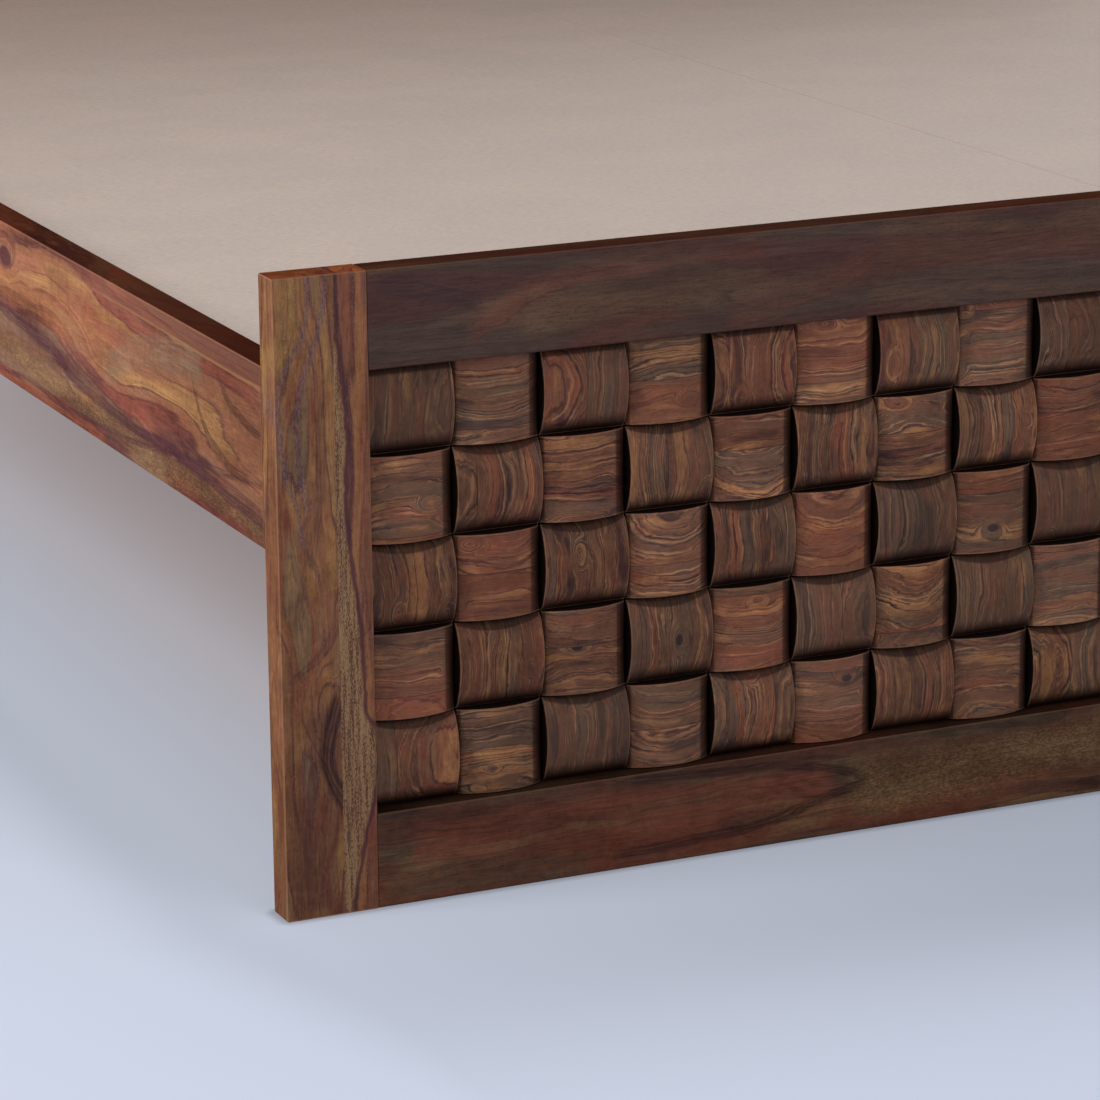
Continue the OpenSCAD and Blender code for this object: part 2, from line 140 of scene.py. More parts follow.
class NodeSheet:
    """The node tree of a material or world, with short calls for the nodes that the finishes use."""

    def __init__(self, name: str, kind: str = "Material") -> None:
        """Makes a material or a world that holds only its output."""
        self.owner = (bpy.data.worlds if kind == "World" else bpy.data.materials).new(name)
        self.owner.use_nodes = True
        self.tree = self.owner.node_tree
        self.tree.nodes.clear()
        self.surface = self.node(f"ShaderNodeOutput{kind}", {}).inputs["Surface"]
        self.shader: Optional[Wire] = None

    def feed(self, socket: bpy.types.NodeSocket, value: object) -> None:
        """Links a wire to a socket, or writes a constant on it."""
        if isinstance(value, Wire):
            self.tree.links.new(value.socket, socket)
        else:
            socket.default_value = value

    def node(self, kind: str, inputs: Inputs, **settings: object) -> bpy.types.Node:
        """Adds a node, sets its own properties and feeds its inputs by name or number."""
        made = self.tree.nodes.new(kind)
        for key, value in settings.items():
            setattr(made, key, value)
        for key, value in inputs.items():
            self.feed(made.inputs[key], value)
        return made

    def add(self, kind: str, inputs: Inputs, out: Union[str, int] = 0, **settings: object) -> Wire:
        """Adds a node and gives one of its outputs."""
        return Wire(self, self.node(kind, inputs, **settings).outputs[out])

    def math(self, operation: str, *values: Number) -> Wire:
        """Works out a sum, by Blender's name for it and its one or two inputs."""
        return self.add("ShaderNodeMath", dict(enumerate(values)), operation=operation)

    def length(self, x: Wire, y: Wire) -> Wire:
        """Gives how far a point of a plane is from the origin."""
        return self.math("SQRT", x * x + y * y)

    def vector(self, *parts: Number) -> Wire:
        """Joins three numbers in a vector."""
        return self.add("ShaderNodeCombineXYZ", dict(enumerate(parts)))

    def split(self, vector: Wire) -> Three:
        """Takes a vector or colour apart."""
        made = self.node("ShaderNodeSeparateXYZ", {0: vector})
        return tuple(Wire(self, socket) for socket in made.outputs)

    def scale(self, vector: Wire, factor: Number) -> Wire:
        """Multiplies a vector or colour by a number."""
        return self.add("ShaderNodeVectorMath", {0: vector, "Scale": factor}, operation="SCALE")

    def place_mm(self) -> Three:
        """Gives a point's own X, Y and Z in millimetres."""
        return self.split(self.scale(self.add("ShaderNodeTexCoord", {}, "Object"), 1 / MM))

    def in_cells(self, place: Sequence[Wire], cell: Sequence[float],
                 shift: Sequence[float] = (0, 0, 0)) -> Wire:
        """Measures a point in cells instead of millimetres.

        Args:
            place: The point's three numbers.
            cell: The cell's sizes. The last one also holds for a number that is left without one.
            shift: How many cells the point moves each way.

        Returns:
            The point as a vector.
        """
        return self.vector(*(at / size + move if move else at / size
                             for at, size, move in zip(place, (*cell, cell[-1]), shift)))

    def noise(self, place: Sequence[Wire], cell: Sequence[float], detail: float = 2, rough: float = 0.5,
              twist: float = 0, shift: Sequence[float] = (0, 0, 0), out: str = "Fac") -> Wire:
        """Adds cloudy noise of about one blotch a cell.

        Args:
            place: The point's three numbers.
            cell: The blotches' sizes, as in_cells takes them.
            detail: How many finer layers are added.
            rough: How strong each finer layer is.
            twist: How far the pattern is pushed about by itself.
            shift: How many cells the pattern moves each way.
            out: Fac for one noise, or Color for three different ones in a vector.

        Returns:
            The noise, centred on a half.
        """
        inputs = {"Vector": self.in_cells(place, cell, shift), "Scale": 1, "Detail": detail,
                  "Roughness": rough, "Distortion": twist}
        return self.add("ShaderNodeTexNoise", inputs, out, noise_dimensions="3D")

    def layers(self, at: Number, detail: float = 2, rough: float = 0.5) -> Wire:
        """Adds noise that changes along one number alone, as growth rings do."""
        inputs = {"W": at, "Scale": 1, "Detail": detail, "Roughness": rough}
        return self.add("ShaderNodeTexNoise", inputs, "Fac", noise_dimensions="1D")

    def spots(self, at: Wire) -> Tuple[Wire, Wire]:
        """Scatters points, and gives the distance to the nearest one and its random colour."""
        made = self.node("ShaderNodeTexVoronoi", {"Vector": at, "Scale": 1}, voronoi_dimensions="3D")
        return Wire(self, made.outputs["Distance"]), Wire(self, made.outputs["Color"])

    def bands(self, at: Number, soft: float) -> Tuple[Three, Wire]:
        """Cuts one number's line into bands of uneven width.

        Args:
            at: The number.
            soft: How far neighbouring bands blend, from 0 to 1.

        Returns:
            Three random numbers for each band, and the distance to the band's edge.
        """
        inputs = {"W": at, "Scale": 1}
        tone = self.add("ShaderNodeTexVoronoi", {**inputs, "Smoothness": soft}, "Color",
                        voronoi_dimensions="1D", feature="SMOOTH_F1")
        edge = self.add("ShaderNodeTexVoronoi", inputs, "Distance",
                        voronoi_dimensions="1D", feature="DISTANCE_TO_EDGE")
        return self.split(tone), edge

    def chance(self, *parts: Number) -> Three:
        """Gives three numbers from 0 to 1 that look random and depend on the inputs alone."""
        inputs = {"Vector": self.vector(*parts)}
        return self.split(self.add("ShaderNodeTexWhiteNoise", inputs, "Color", noise_dimensions="3D"))

    def step(self, value: Wire, start: Number, end: Number, low: Number = 0.0, high: Number = 1.0) -> Wire:
        """Goes smoothly from low to high as the value goes from start to end."""
        inputs = dict(enumerate((value, start, end, low, high)))
        return self.add("ShaderNodeMapRange", inputs, interpolation_type="SMOOTHSTEP")

    def curve(self, at: Number, points: Line) -> Wire:
        """Follows a smooth line through points, whose two numbers run from 0 to 1."""
        made = self.node("ShaderNodeFloatCurve", {"Value": at})
        made.mapping.extend = "HORIZONTAL"
        line = made.mapping.curves[0].points
        while len(line) < len(points):
            line.new(0.5, 0.5)
        for spot, place in zip(line, points):
            spot.location = place
        made.mapping.update()
        return Wire(self, made.outputs[0])

    def mix(self, share: Number, first: object, second: object) -> Wire:
        """Blends two colours.

        Args:
            share: How much of the second colour there is.
            first: A wire, or a colour from 0 to 255.
            second: A wire, or a colour from 0 to 255.

        Returns:
            The blended colour.
        """
        first, second = (given if isinstance(given, Wire) else linear(given) for given in (first, second))
        return self.add("ShaderNodeMix", {0: share, 6: first, 7: second}, 2, data_type="RGBA")

    def recolour(self, colour: Wire, usual: Colour, wanted: Colour) -> Wire:
        """Shifts a colour by the step from one display colour to another."""
        factors = [new / old for new, old in zip(linear(wanted)[:3], linear(usual)[:3])]
        return self.add("ShaderNodeVectorMath", {0: colour, 1: factors}, operation="MULTIPLY")

    def finish(self, colour: object, roughness: object, height: Optional[Wire] = None,
               depth_mm: float = 0.1, **constants: float) -> bpy.types.Material:
        """Makes the shader and puts it on the output.

        Args:
            colour: The base colour, a wire or a linear colour.
            roughness: The roughness, a wire or a number.
            height: The relief, from 0 to 1.
            depth_mm: How deep a relief of 1 is.
            constants: More shader inputs, their spaces written as underscores.

        Returns:
            The finished material.
        """
        inputs = {"Base Color": colour, "Roughness": roughness}
        inputs.update((key.replace("_", " "), value) for key, value in constants.items())
        if height is not None:
            inputs["Normal"] = self.add("ShaderNodeBump", {"Distance": depth_mm * MM, "Height": height})
        self.shader = self.add("ShaderNodeBsdfPrincipled", inputs)
        self.feed(self.surface, self.shader)
        return self.owner

    def show(self, shown: Wire, light: Wire, share: Number) -> None:
        """Shows one shader to the camera, in gloss and in glass, and lights the scene with another.

        Args:
            shown: The shader that is seen.
            light: The shader that gives the light.
            share: How much of the seen shader there is where it is seen.
        """
        path = self.node("ShaderNodeLightPath", {})
        camera, gloss, glass = (Wire(self, path.outputs[f"Is {kind} Ray"])
                                for kind in ("Camera", "Glossy", "Transmission"))
        seen = self.math("MAXIMUM", self.math("MAXIMUM", camera, gloss), glass)
        self.feed(self.surface, self.add("ShaderNodeMixShader", {0: seen * share, 1: light, 2: shown}))


class Grain(Enum):
    """Which way a board's grain runs: its length, the width of its face, and its thickness."""

    ALONG_X = (0, 2, 1)
    ALONG_Y = (1, 2, 0)
    ALONG_Z = (2, 0, 1)


@dataclass(frozen=True)
class Tones:
    """The colours of one oiled hardwood, as they look under plain light, with three tones of painted light
    and shade.
    """

    body: Colour
    gold: Colour
    olive: Colour
    red: Colour
    purple: Colour
    # arris: a painted highlight along the edges.
    arris: Colour
    # top: a painted shade on top faces, and the colour of the blocks' painted shadows.
    top: Colour
    # end: a painted near-black shade on the blocks' side walls and low ends, in the gaps.
    end: Colour = (20, 11, 10)


SIDE_TONES = Tones((148, 98, 74), (164, 120, 80), (124, 96, 77), (136, 77, 64), (90, 56, 55), (146, 100, 78),
                   (72, 36, 21))
POST_TONES = Tones((120, 80, 57), (142, 102, 64), (112, 86, 62), (116, 68, 52), (70, 48, 52), (150, 108, 82),
                   (98, 48, 28))
STAVE_TONES = Tones((112, 72, 56), (136, 92, 62), (100, 72, 60), (118, 66, 52), (68, 45, 51), (150, 104, 80),
                    (108, 54, 34))
TOP_TONES = Tones((76, 53, 48), (94, 68, 54), (70, 58, 50), (96, 58, 50), (54, 41, 42), (82, 55, 45),
                  (58, 28, 19))
LOW_TONES = Tones((76, 50, 40), (104, 78, 54), (66, 56, 42), (94, 52, 39), (46, 34, 32), (86, 60, 48),
                  (46, 24, 17))
BLOCK_TONES = Tones((104, 69, 52), (154, 106, 69), (84, 68, 55), (122, 69, 52), (46, 32, 36), (138, 100, 76),
                    (30, 15, 11))


@dataclass(frozen=True)
class Knot:
    """A knot at a chosen place of a board, from its centre, in millimetres.

    The strength is how many rings it pushes aside, and the heart its dark share.
    """

    along: Number
    across: Number
    length: float
    width: float
    strength: Number
    heart: Number = -1.0


@dataclass(frozen=True)
class Streak:
    """A streak along a board, with the line of its middle from the board's centre, in millimetres."""

    line: Line
    width: float
    tone: Colour
    share: float
    pored: bool = False


GOLD_STRIPE = ((0.0, 0.2), (0.03, 0.26), (0.086, 0.47), (0.134, 0.62), (0.18, 0.85), (0.229, 0.97),
               (0.265, 0.98), (0.3, 0.83), (0.325, 0.64), (0.385, 0.6), (0.444, 0.55), (0.504, 0.43),
               (0.564, 0.3), (0.61, 0.24), (0.68, 0.2), (0.75, 0.26), (0.803, 0.2), (0.867, 0.08), (0.9, 0.0))
POST_STREAKS = (
    Streak(((158, -26), (172, -19), (189, -12), (205, -10), (236, -12)), 11, (140, 106, 64), 0.6),
    Streak(((58, 1), (84, -3), (106, -5), (128, -5), (153, -2), (173, 6), (193, 12), (213, 16), (240, 18)),
           3.6, (104, 82, 86), 0.6, True),
    Streak(((34, 0), (46, -4), (68, -7), (88, -13), (115, -17), (140, -20), (157, -17), (171, -10), (189, 0),
            (207, 3), (240, 3)), 3.2, (104, 82, 86), 0.6, True),
    Streak(((-232, 2), (-190, 0), (-140, 4), (-100, 6), (-70, 10)), 20, (86, 58, 54), 0.65),
    Streak(((-60, -20), (-50, -8), (-42, 4), (-30, 14), (-10, 22)), 7, (78, 50, 48), 0.7),
    Streak(((-20, -10), (20, -2), (60, 8), (100, 12), (150, 15)), 5, (88, 60, 50), 0.7),
    Streak(((-160, 28), (-140, 20), (-120, 13), (-105, 13), (-85, 17), (-60, 24)), 8, (50, 36, 37), 0.9))
STAVE_STREAKS = (
    Streak(((40, -6), (61, -3), (106, 0), (140, -2), (173, -7), (211, -11), (240, -12)),
           2.6, (76, 46, 48), 0.8),)
TOP_STREAKS = (
    Streak(((-800, -20), (-775, -6), (-750, 8), (-700, 18), (-640, 22), (-560, 24)), 12, (104, 62, 50), 0.45),
    Streak(((-760, -12), (-710, -6), (-650, -4), (-590, -2), (-560, 2)), 17, (92, 72, 54), 0.5),
    Streak(((-600, -26), (-550, -18), (-510, -6), (-470, 12)), 14, (104, 62, 50), 0.4),
    Streak(((-480, 10), (-400, 6), (-300, 10), (-200, 4)), 20, (104, 70, 54), 0.4),
    Streak(((-870, 22), (-820, 16), (-780, 2)), 12, (58, 44, 46), 0.6))
LOW_STREAKS = (
    Streak(((-500, 2), (-430, 0), (-340, 4), (-240, 8), (-100, 4)), 30, (106, 80, 54), 0.7, True),
    Streak(((-850, 10), (-780, 8), (-700, 8), (-600, 6), (-500, 4)), 24, (98, 54, 41), 0.8),
    Streak(((-680, 31), (-600, 28), (-550, 24), (-510, 17), (-474, 4)), 5, (46, 31, 29), 0.9),
    Streak(((-690, -24), (-600, -20), (-550, -14), (-510, -4), (-474, 4)), 5, (46, 31, 29), 0.9),
    Streak(((-870, -22), (-800, -20), (-700, -26)), 12, (74, 60, 46), 0.6))
SIDE_STREAKS = (
    Streak(((-680, 26), (-600, 18), (-500, 12), (-400, 14), (-240, 24)), 20, (158, 106, 68), 0.5),
    Streak(((-880, 42), (-800, 36), (-740, 22), (-690, 5), (-650, -12)), 18, (132, 114, 92), 0.6),
    Streak(((-660, -62), (-560, -58), (-480, -60), (-340, -64)), 9, (146, 82, 58), 0.6),
    Streak(((-1000, -52), (-860, -50), (-770, -52), (-680, -44), (-560, -42), (-400, -33), (-200, -20),
            (100, -36), (500, -10), (1000, 20)), 13, (138, 106, 70), 0.56, True),
    Streak(((-1000, -48), (-936, -44), (-817, -35), (-714, -36), (-585, -29), (-540, -16), (-399, -6),
            (-150, 20), (100, 6), (600, 24), (1000, 40)), 6, (78, 50, 56), 0.8),
    Streak(((-1000, -20), (-800, -38), (-681, -50), (-562, -55), (-480, -53), (-390, -58), (-100, -50),
            (300, -30), (1000, -30)), 3.4, (80, 50, 56), 0.7),
    Streak(((-970, -22), (-889, -9), (-862, 12), (-846, 46)), 5, (78, 50, 48), 0.7),
    Streak(((-995, 14), (-957, 19), (-922, 29), (-900, 49)), 5, (78, 50, 48), 0.7))


@dataclass(frozen=True)
class Figure:
    """How the figure of a hardwood board lies in it, in millimetres.

    The rings lie round a pith that is beside the board and leans along it, so that its faces cut them
    to arches and ovals. Eyes are small knots that the rings flow round.
    """

    seed: float = 0.0
    ring: float = 9.0
    pith: Tuple[float, float] = (0.0, 0.0)
    lean: float = 0.02
    tilt: float = 0.0
    wave: float = 26.0
    wave_cell: Tuple[float, float] = (240.0, 60.0)
    curl: float = 4.0
    curl_cell: Tuple[float, float] = (70.0, 18.0)
    eye: float = 14.0
    eye_cell: Tuple[float, float] = (150.0, 46.0)
    eye_share: float = 0.5
    patch_cell: Tuple[float, float] = (150.0, 30.0)
    soft: float = 0.5
    streak: float = 0.7
    streak_width: float = 0.1
    thread: float = 0.3
    contrast: float = 0.9
    banded: float = 0.7
    speckle: float = 0.7
    smoke: float = 0.12
    ripple: float = 0.09
    hair: float = 0.08
    hair_pace: float = 5.0
    hair_tint: float = 0.15
    twist: float = 0.3
    feather: float = 0.2
    knots: Tuple[Knot, ...] = ()
    streaks: Tuple[Streak, ...] = ()


OUTER_FIGURE = Figure(lean=0.08, wave=22, wave_cell=(130, 44), curl_cell=(60, 14), patch_cell=(70, 16),
                      streak_width=0.16, ripple=0.1)
INNER_FIGURE = Figure(ring=10, wave=16, wave_cell=(200, 30), eye_share=0.2, patch_cell=(90, 12),
                      streak=0.6, streak_width=0.14, smoke=0.1)
TOP_FIGURE = Figure(ring=15, pith=(8, 26), wave=36, wave_cell=(300, 80), curl=7, curl_cell=(100, 26),
                    eye_share=0.2, patch_cell=(150, 34), soft=0.9, streak=0.3, thread=0.1, contrast=0.75,
                    banded=0.5, speckle=0.1, smoke=0.08, ripple=0.03, hair_pace=3.0, twist=0.5, feather=0.3,
                    knots=(Knot(-664, 4, 130, 36, 1.6),), streaks=TOP_STREAKS)
LOW_FIGURE = Figure(ring=12, pith=(-30, 20), wave=34, wave_cell=(260, 70), curl=8, curl_cell=(100, 26),
                    eye_share=0.4, patch_cell=(110, 26), soft=0.8, streak=0.5, thread=0.15, contrast=0.8,
                    banded=0.6, speckle=0.2, hair=0.1, hair_pace=3.0, twist=0.6, feather=0.3,
                    knots=(Knot(-493, 6, 110, 26, 1.4),), streaks=LOW_STREAKS)
SIDE_FIGURE = Figure(ring=17, pith=(14, 24), lean=0.03, tilt=0.09, wave=50, wave_cell=(330, 90), curl=11,
                     curl_cell=(130, 34), eye=30, eye_cell=(260, 80), eye_share=0.3, patch_cell=(170, 32),
                     soft=0.8, streak_width=0.12, banded=0.65, speckle=0.5, smoke=0.16, ripple=0.08,
                     hair=0.16, hair_pace=3.6, hair_tint=0.22, twist=0.7, streaks=SIDE_STREAKS)
BLOCK_FIGURE = Figure(ring=7.5, wave=7, wave_cell=(54, 24), curl=2.2, curl_cell=(26, 8), eye=22,
                      eye_cell=(50, 25), eye_share=0.34, patch_cell=(60, 11), soft=0.85, streak_width=0.08,
                      thread=0.45, contrast=0.68, banded=0.6, speckle=0.25, hair=0.2, hair_pace=3.6,
                      hair_tint=0.55, twist=0.4, feather=0.16)


@dataclass(frozen=True)
class WoodPoint:
    """A point of a board in its own directions, in millimetres, and what changes from block to block."""

    along: Wire
    across: Wire
    deep: Wire
    pith_across: Number
    pith_deep: Number
    lean: Number
    seed: Number

    @property
    def place(self) -> Three:
        """Gives the point's three numbers."""
        return self.along, self.across, self.deep


def lay_streak(sheet: NodeSheet, at: WoodPoint, colour: Wire, streak: Streak, fray: Wire) -> Wire:
    """Lays a streak over a board's figure.

    Args:
        sheet: The material's nodes.
        at: The point in the board's own directions.
        colour: The wood's colour so far.
        streak: The streak.
        fray: Noise drawn out with the grain, which frays the streak's edges.

    Returns:
        The colour with the streak.
    """
    start, end = streak.line[0][0], streak.line[-1][0]
    points = [((along - start) / (end - start), across / CURVE_WIDTH_MM + 0.5)
              for along, across in streak.line]
    middle = (sheet.curve((at.along - start) / (end - start), points) - 0.5) * CURVE_WIDTH_MM
    swell = sheet.noise(at.place, (90, 22), shift=(0, streak.width, 0))
    wander = streak.width * 0.4 + 2
    away = (at.across - middle + (swell - 0.5) * wander * 2 + (fray - 0.5) * wander).size()
    inside = sheet.step(away, streak.width, streak.width * 0.35) * sheet.step(swell, 0.3, 0.5, 0.4, 1.0)
    inside = inside * sheet.step(at.along, start, start + 14) * sheet.step(at.along, end, end - 14)
    if not streak.pored:
        lines = sheet.layers((at.across - middle) / 2.4 + swell * 6)
        inside = inside * sheet.step(lines, 0.35, 0.55, 0.35, 1.0)
        return sheet.mix(inside * streak.share, colour, streak.tone)
    dots = sheet.noise(at.place, (2.6, 1.1), detail=1)
    pored = sheet.scale(sheet.mix(0.25, streak.tone, colour), sheet.step(dots, 0.36, 0.6, 1.16, 0.62))
    return sheet.mix(inside * streak.share, colour, pored)


def wood_figure(sheet: NodeSheet, at: WoodPoint, tones: Tones, figure: Figure) -> Three:
    """Builds the nodes of a hardwood's figure.

    Args:
        sheet: The material's nodes.
        at: The point in the board's own directions.
        tones: The wood's colours.
        figure: How the rings lie.

    Returns:
        The colour, the strength of the fibres from 0 to 1, and the strength of the pores from 0 to 1.
    """
    place = (at.along + at.seed * 97.0, at.across + at.seed * 31.0, at.deep)
    slow = sheet.split(sheet.noise(place, figure.wave_cell, detail=1, out="Color"))
    quick = sheet.noise(place, figure.curl_cell, twist=figure.twist, shift=(5.0, 0, 0))
    distance, lot = sheet.spots(sheet.in_cells(place, figure.eye_cell))
    chosen = sheet.step(sheet.split(lot)[0], figure.eye_share, figure.eye_share - 0.02)
    eye = sheet.step(distance, 0.36, 0.0) * chosen
    hole = sheet.step(eye, 0.7, 1.0, 0.0, 0.75)
    for knot in figure.knots:
        reach = sheet.length((at.along - knot.along) / knot.length, (at.across - knot.across) / knot.width)
        eye = eye + sheet.step(reach, 1.0, 0.0) * knot.strength
        hole = sheet.step(reach, knot.heart + 0.12, knot.heart)
    side = at.across - at.along * figure.tilt - at.pith_across + (slow[0] - 0.5) * (2 * figure.wave)
    depth = at.deep + at.pith_deep + at.along * at.lean + (slow[1] - 0.5) * (1.4 * figure.wave)
    radius = sheet.length(side, depth)
    fray = sheet.noise(place, (42, 2.4), detail=3, rough=0.6)
    ring = (radius + (quick - 0.5) * figure.curl * 2 + eye * figure.eye) / figure.ring + at.seed * 7.0
    ring = ring + (fray - 0.5) * (figure.feather * 2)

    (reddish, greyish, bright), edge = sheet.bands(ring, figure.soft)
    hair = sheet.layers(ring * figure.hair_pace + 90.0, rough=0.6)
    patch = sheet.split(sheet.noise(place, figure.patch_cell, detail=3, shift=(9.0, 0, 0), out="Color"))
    cloudy = 2.0 - figure.banded
    clouds = [(part - 0.5) * cloudy + 0.5 - figure.banded / 2 for part in patch]
    reddish, greyish, bright = (part * figure.banded for part in (reddish, greyish, bright))
    colour = tones.body
    for value, start, end, tone in ((reddish + clouds[0], 0.4, 0.75, tones.red),
                                    (greyish + clouds[1], 0.45, 0.75, tones.olive),
                                    (bright + clouds[2], 0.6, 0.9, tones.gold),
                                    (bright + clouds[0], 0.34, 0.08, tones.purple)):
        colour = sheet.mix(sheet.step(value, start, end, 0.0, figure.contrast), colour, tone)
    streak = sheet.step(edge, figure.streak_width, 0.01) * sheet.step(patch[2], 0.36, 0.6, 0.15, 1.0)
    beside = (edge - figure.streak_width * 1.4).size()
    thread = sheet.step(beside, 0.06, 0.0) * sheet.step(patch[2], 0.6, 0.4)
    lined = sheet.step(patch[1], 0.42, 0.6, 0.1, 1.0)
    for share, tone in ((streak * figure.streak, tones.purple),
                        (thread * figure.thread, tones.gold),
                        (sheet.step(hair, 0.56, 0.7, 0.0, figure.hair_tint) * lined, tones.gold),
                        (sheet.step(hair, 0.44, 0.3, 0.0, figure.hair_tint * 1.3) * lined, tones.purple),
                        (hole, tones.purple)):
        colour = sheet.mix(share, colour, tone)
    for mark in figure.streaks:
        colour = lay_streak(sheet, at, colour, mark, fray)

    fibre = sheet.noise(place, (16, 1.1), detail=3, rough=0.6)
    pore = sheet.step(sheet.noise(place, (3.4, 0.6), detail=1), 0.6, 0.72)
    speck = sheet.step(sheet.noise(place, (1.8, 0.9), detail=0), 0.62, 0.74)
    # The ripple's light and dark cross-bands are partly the wood's figure and partly a painted sheen.
    ripple = sheet.noise(place, (12, 14), twist=1.4)
    level = sheet.step(fibre, 0.2, 0.8, 0.82, 1.18)
    level = level + sheet.step(patch[1], 0.36, 0.64, -figure.smoke, figure.smoke)
    level = level + sheet.step(ripple, 0.3, 0.7, -figure.ripple, figure.ripple)
    level = level + sheet.step(hair, 0.3, 0.7, -figure.hair, figure.hair) * lined
    level = level - pore * sheet.step(bright + clouds[2], 0.4, 0.9, 0.16, 0.34)
    level = level + speck * streak * figure.speckle
    return sheet.scale(colour, level), fibre, pore


def joint_box(*nodes: str) -> Tuple[Vector, Vector]:
    """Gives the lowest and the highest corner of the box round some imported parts."""
    lows, highs = zip(*(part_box(node) for node in nodes))
    return Vector(map(min, zip(*lows))), Vector(map(max, zip(*highs)))


@dataclass(frozen=True)
class HardwoodBoard:
    """The oiled finish of one board, post stave or rail.

    The shade is an axis, where it is darkest and where it ends in millimetres, and the light left there.
    """

    node: str
    slot: str
    grain: Grain
    tones: Tones
    figure: Figure
    beside: Tuple[str, ...] = ()
    shade: Optional[Tuple[int, float, float, float]] = None
    stripe: Line = ()
    top_strip: float = 0.0

    def straight_strip(self, sheet: NodeSheet, colour: Wire, at: WoodPoint, width: float) -> Wire:
        """Gives the upper edge of a rail its straight pinkish grain, with a golden line below it.

        Args:
            sheet: The material's nodes.
            colour: The wood's colour so far.
            at: The point in the rail's own directions.
            width: The rail's height in millimetres.

        Returns:
            The colour with the strip.
        """
        drift = sheet.noise(at.place, (260, 60), detail=1)
        below = at.across - width / 2 + self.top_strip + (drift - 0.5) * 12
        inside = sheet.step(below, -0.6, 0.6) * sheet.step(at.along.size(), 440, 760)
        lines = sheet.layers(below / 2.6 + 20.0)
        strip = sheet.mix(sheet.step(lines, 0.4, 0.6), self.tones.red, (122, 82, 70))
        strip = sheet.mix(sheet.step(lines, 0.42, 0.32, 0.0, 0.7), strip, self.tones.purple)
        colour = sheet.mix(inside * 0.7, colour, strip)
        line = sheet.step((below + 0.6).size(), 1.5, 0.3) * sheet.step(at.along.size(), 480, 820)
        return sheet.mix(line * 0.6, colour, self.tones.gold)

    def gold_stripe(self, sheet: NodeSheet, colour: Wire, at: WoodPoint, width: float) -> Wire:
        """Lays a stripe of speckled golden sapwood along the stave's glued edge.

        Args:
            sheet: The material's nodes.
            colour: The wood's colour so far.
            at: The point in the stave's own directions.
            width: The stave's width in millimetres.

        Returns:
            The colour with the stripe.
        """
        edge = sheet.noise(at.place, (9, 5))
        reach = (at.across + width / 2) / width + (edge - 0.5) * 0.16
        past = reach - sheet.curve(at.along / 460 + 0.5, self.stripe)
        dots = sheet.noise(at.place, (2.2, 0.7), detail=1)
        veins = sheet.noise(at.place, (30, 1.9))
        gold = sheet.mix(sheet.step(dots + (veins - 0.5) * 0.9, 0.36, 0.68), (140, 110, 80), (88, 60, 48))
        rim = sheet.step((past - 0.09).size(), 0.1, 0.02)
        rimmed = sheet.mix(rim * 0.8, colour, self.tones.purple)
        return sheet.mix(sheet.step(past, 0.05, -0.05) * 0.92, rimmed, gold)

    def dress(self) -> None:
        """Makes the board's material, placed by the board's own box, with a painted shade on its top face and
        painted highlights on its arrises.
        """
        sheet = NodeSheet(f"{self.node}_oiled_wood")
        low, high = (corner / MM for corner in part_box(self.node))
        centre, width = (low + high) / 2, (high - low)[self.grain.value[1]]
        place = sheet.place_mm()
        along, across, deep = (place[axis] - centre[axis] for axis in self.grain.value)
        point = WoodPoint(along, across, deep, *self.figure.pith, self.figure.lean, self.figure.seed)
        colour, fibre, pore = wood_figure(sheet, point, self.tones, self.figure)
        if self.top_strip:
            colour = self.straight_strip(sheet, colour, point, width)
        if self.stripe:
            colour = self.gold_stripe(sheet, colour, point, width)
        if self.shade:
            axis, dark, plain, share = self.shade
            shade = sheet.step(place[axis] + (fibre - 0.5) * 60, dark, plain, share, 1.0)
            colour = sheet.scale(colour, shade)
        low, high = (corner / MM for corner in joint_box(self.node, *self.beside))
        # Painted highlight: the arrises, where two faces of the box meet, are lightened towards the arris
        # tone.
        near = [sheet.step(sheet.math("MINIMUM", at - start, end - at), 1.3, 0.7)
                for at, start, end in zip(place, low, high)]
        painted_highlight_edges = near[0] * near[1] + near[1] * near[2] + near[2] * near[0]
        # Painted shade: the top face is darkened towards the tones' top colour.
        top = sheet.step(place[2], high[2] - 0.3, high[2] - 0.05, 0.0, 0.92)
        colour = sheet.mix(top, colour, sheet.recolour(colour, self.tones.body, self.tones.top))
        colour = sheet.mix(sheet.step(painted_highlight_edges, 0.3, 0.9, 0.0, 0.4), colour, self.tones.arris)
        finished = sheet.finish(colour, sheet.step(fibre, 0.3, 0.7, 0.5, 0.62), fibre * 0.4 - pore,
                                depth_mm=0.12, Specular_IOR_Level=0.0)
        dress_node(self.node, finished)


def dress_node(node: str, material: bpy.types.Material) -> None:
    """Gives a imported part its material.

    Args:
        node: The part's name.
        material: The new material.
    """
    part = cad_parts[node]
    if not part.material_slots:
        part.data.materials.append(material)
    for holder in part.material_slots:
        holder.material = material
    LOG.info("dressed %s as %s", node, material.name)


def unselect() -> None:
    """Deselects everything."""
    bpy.ops.object.select_all(action="DESELECT")


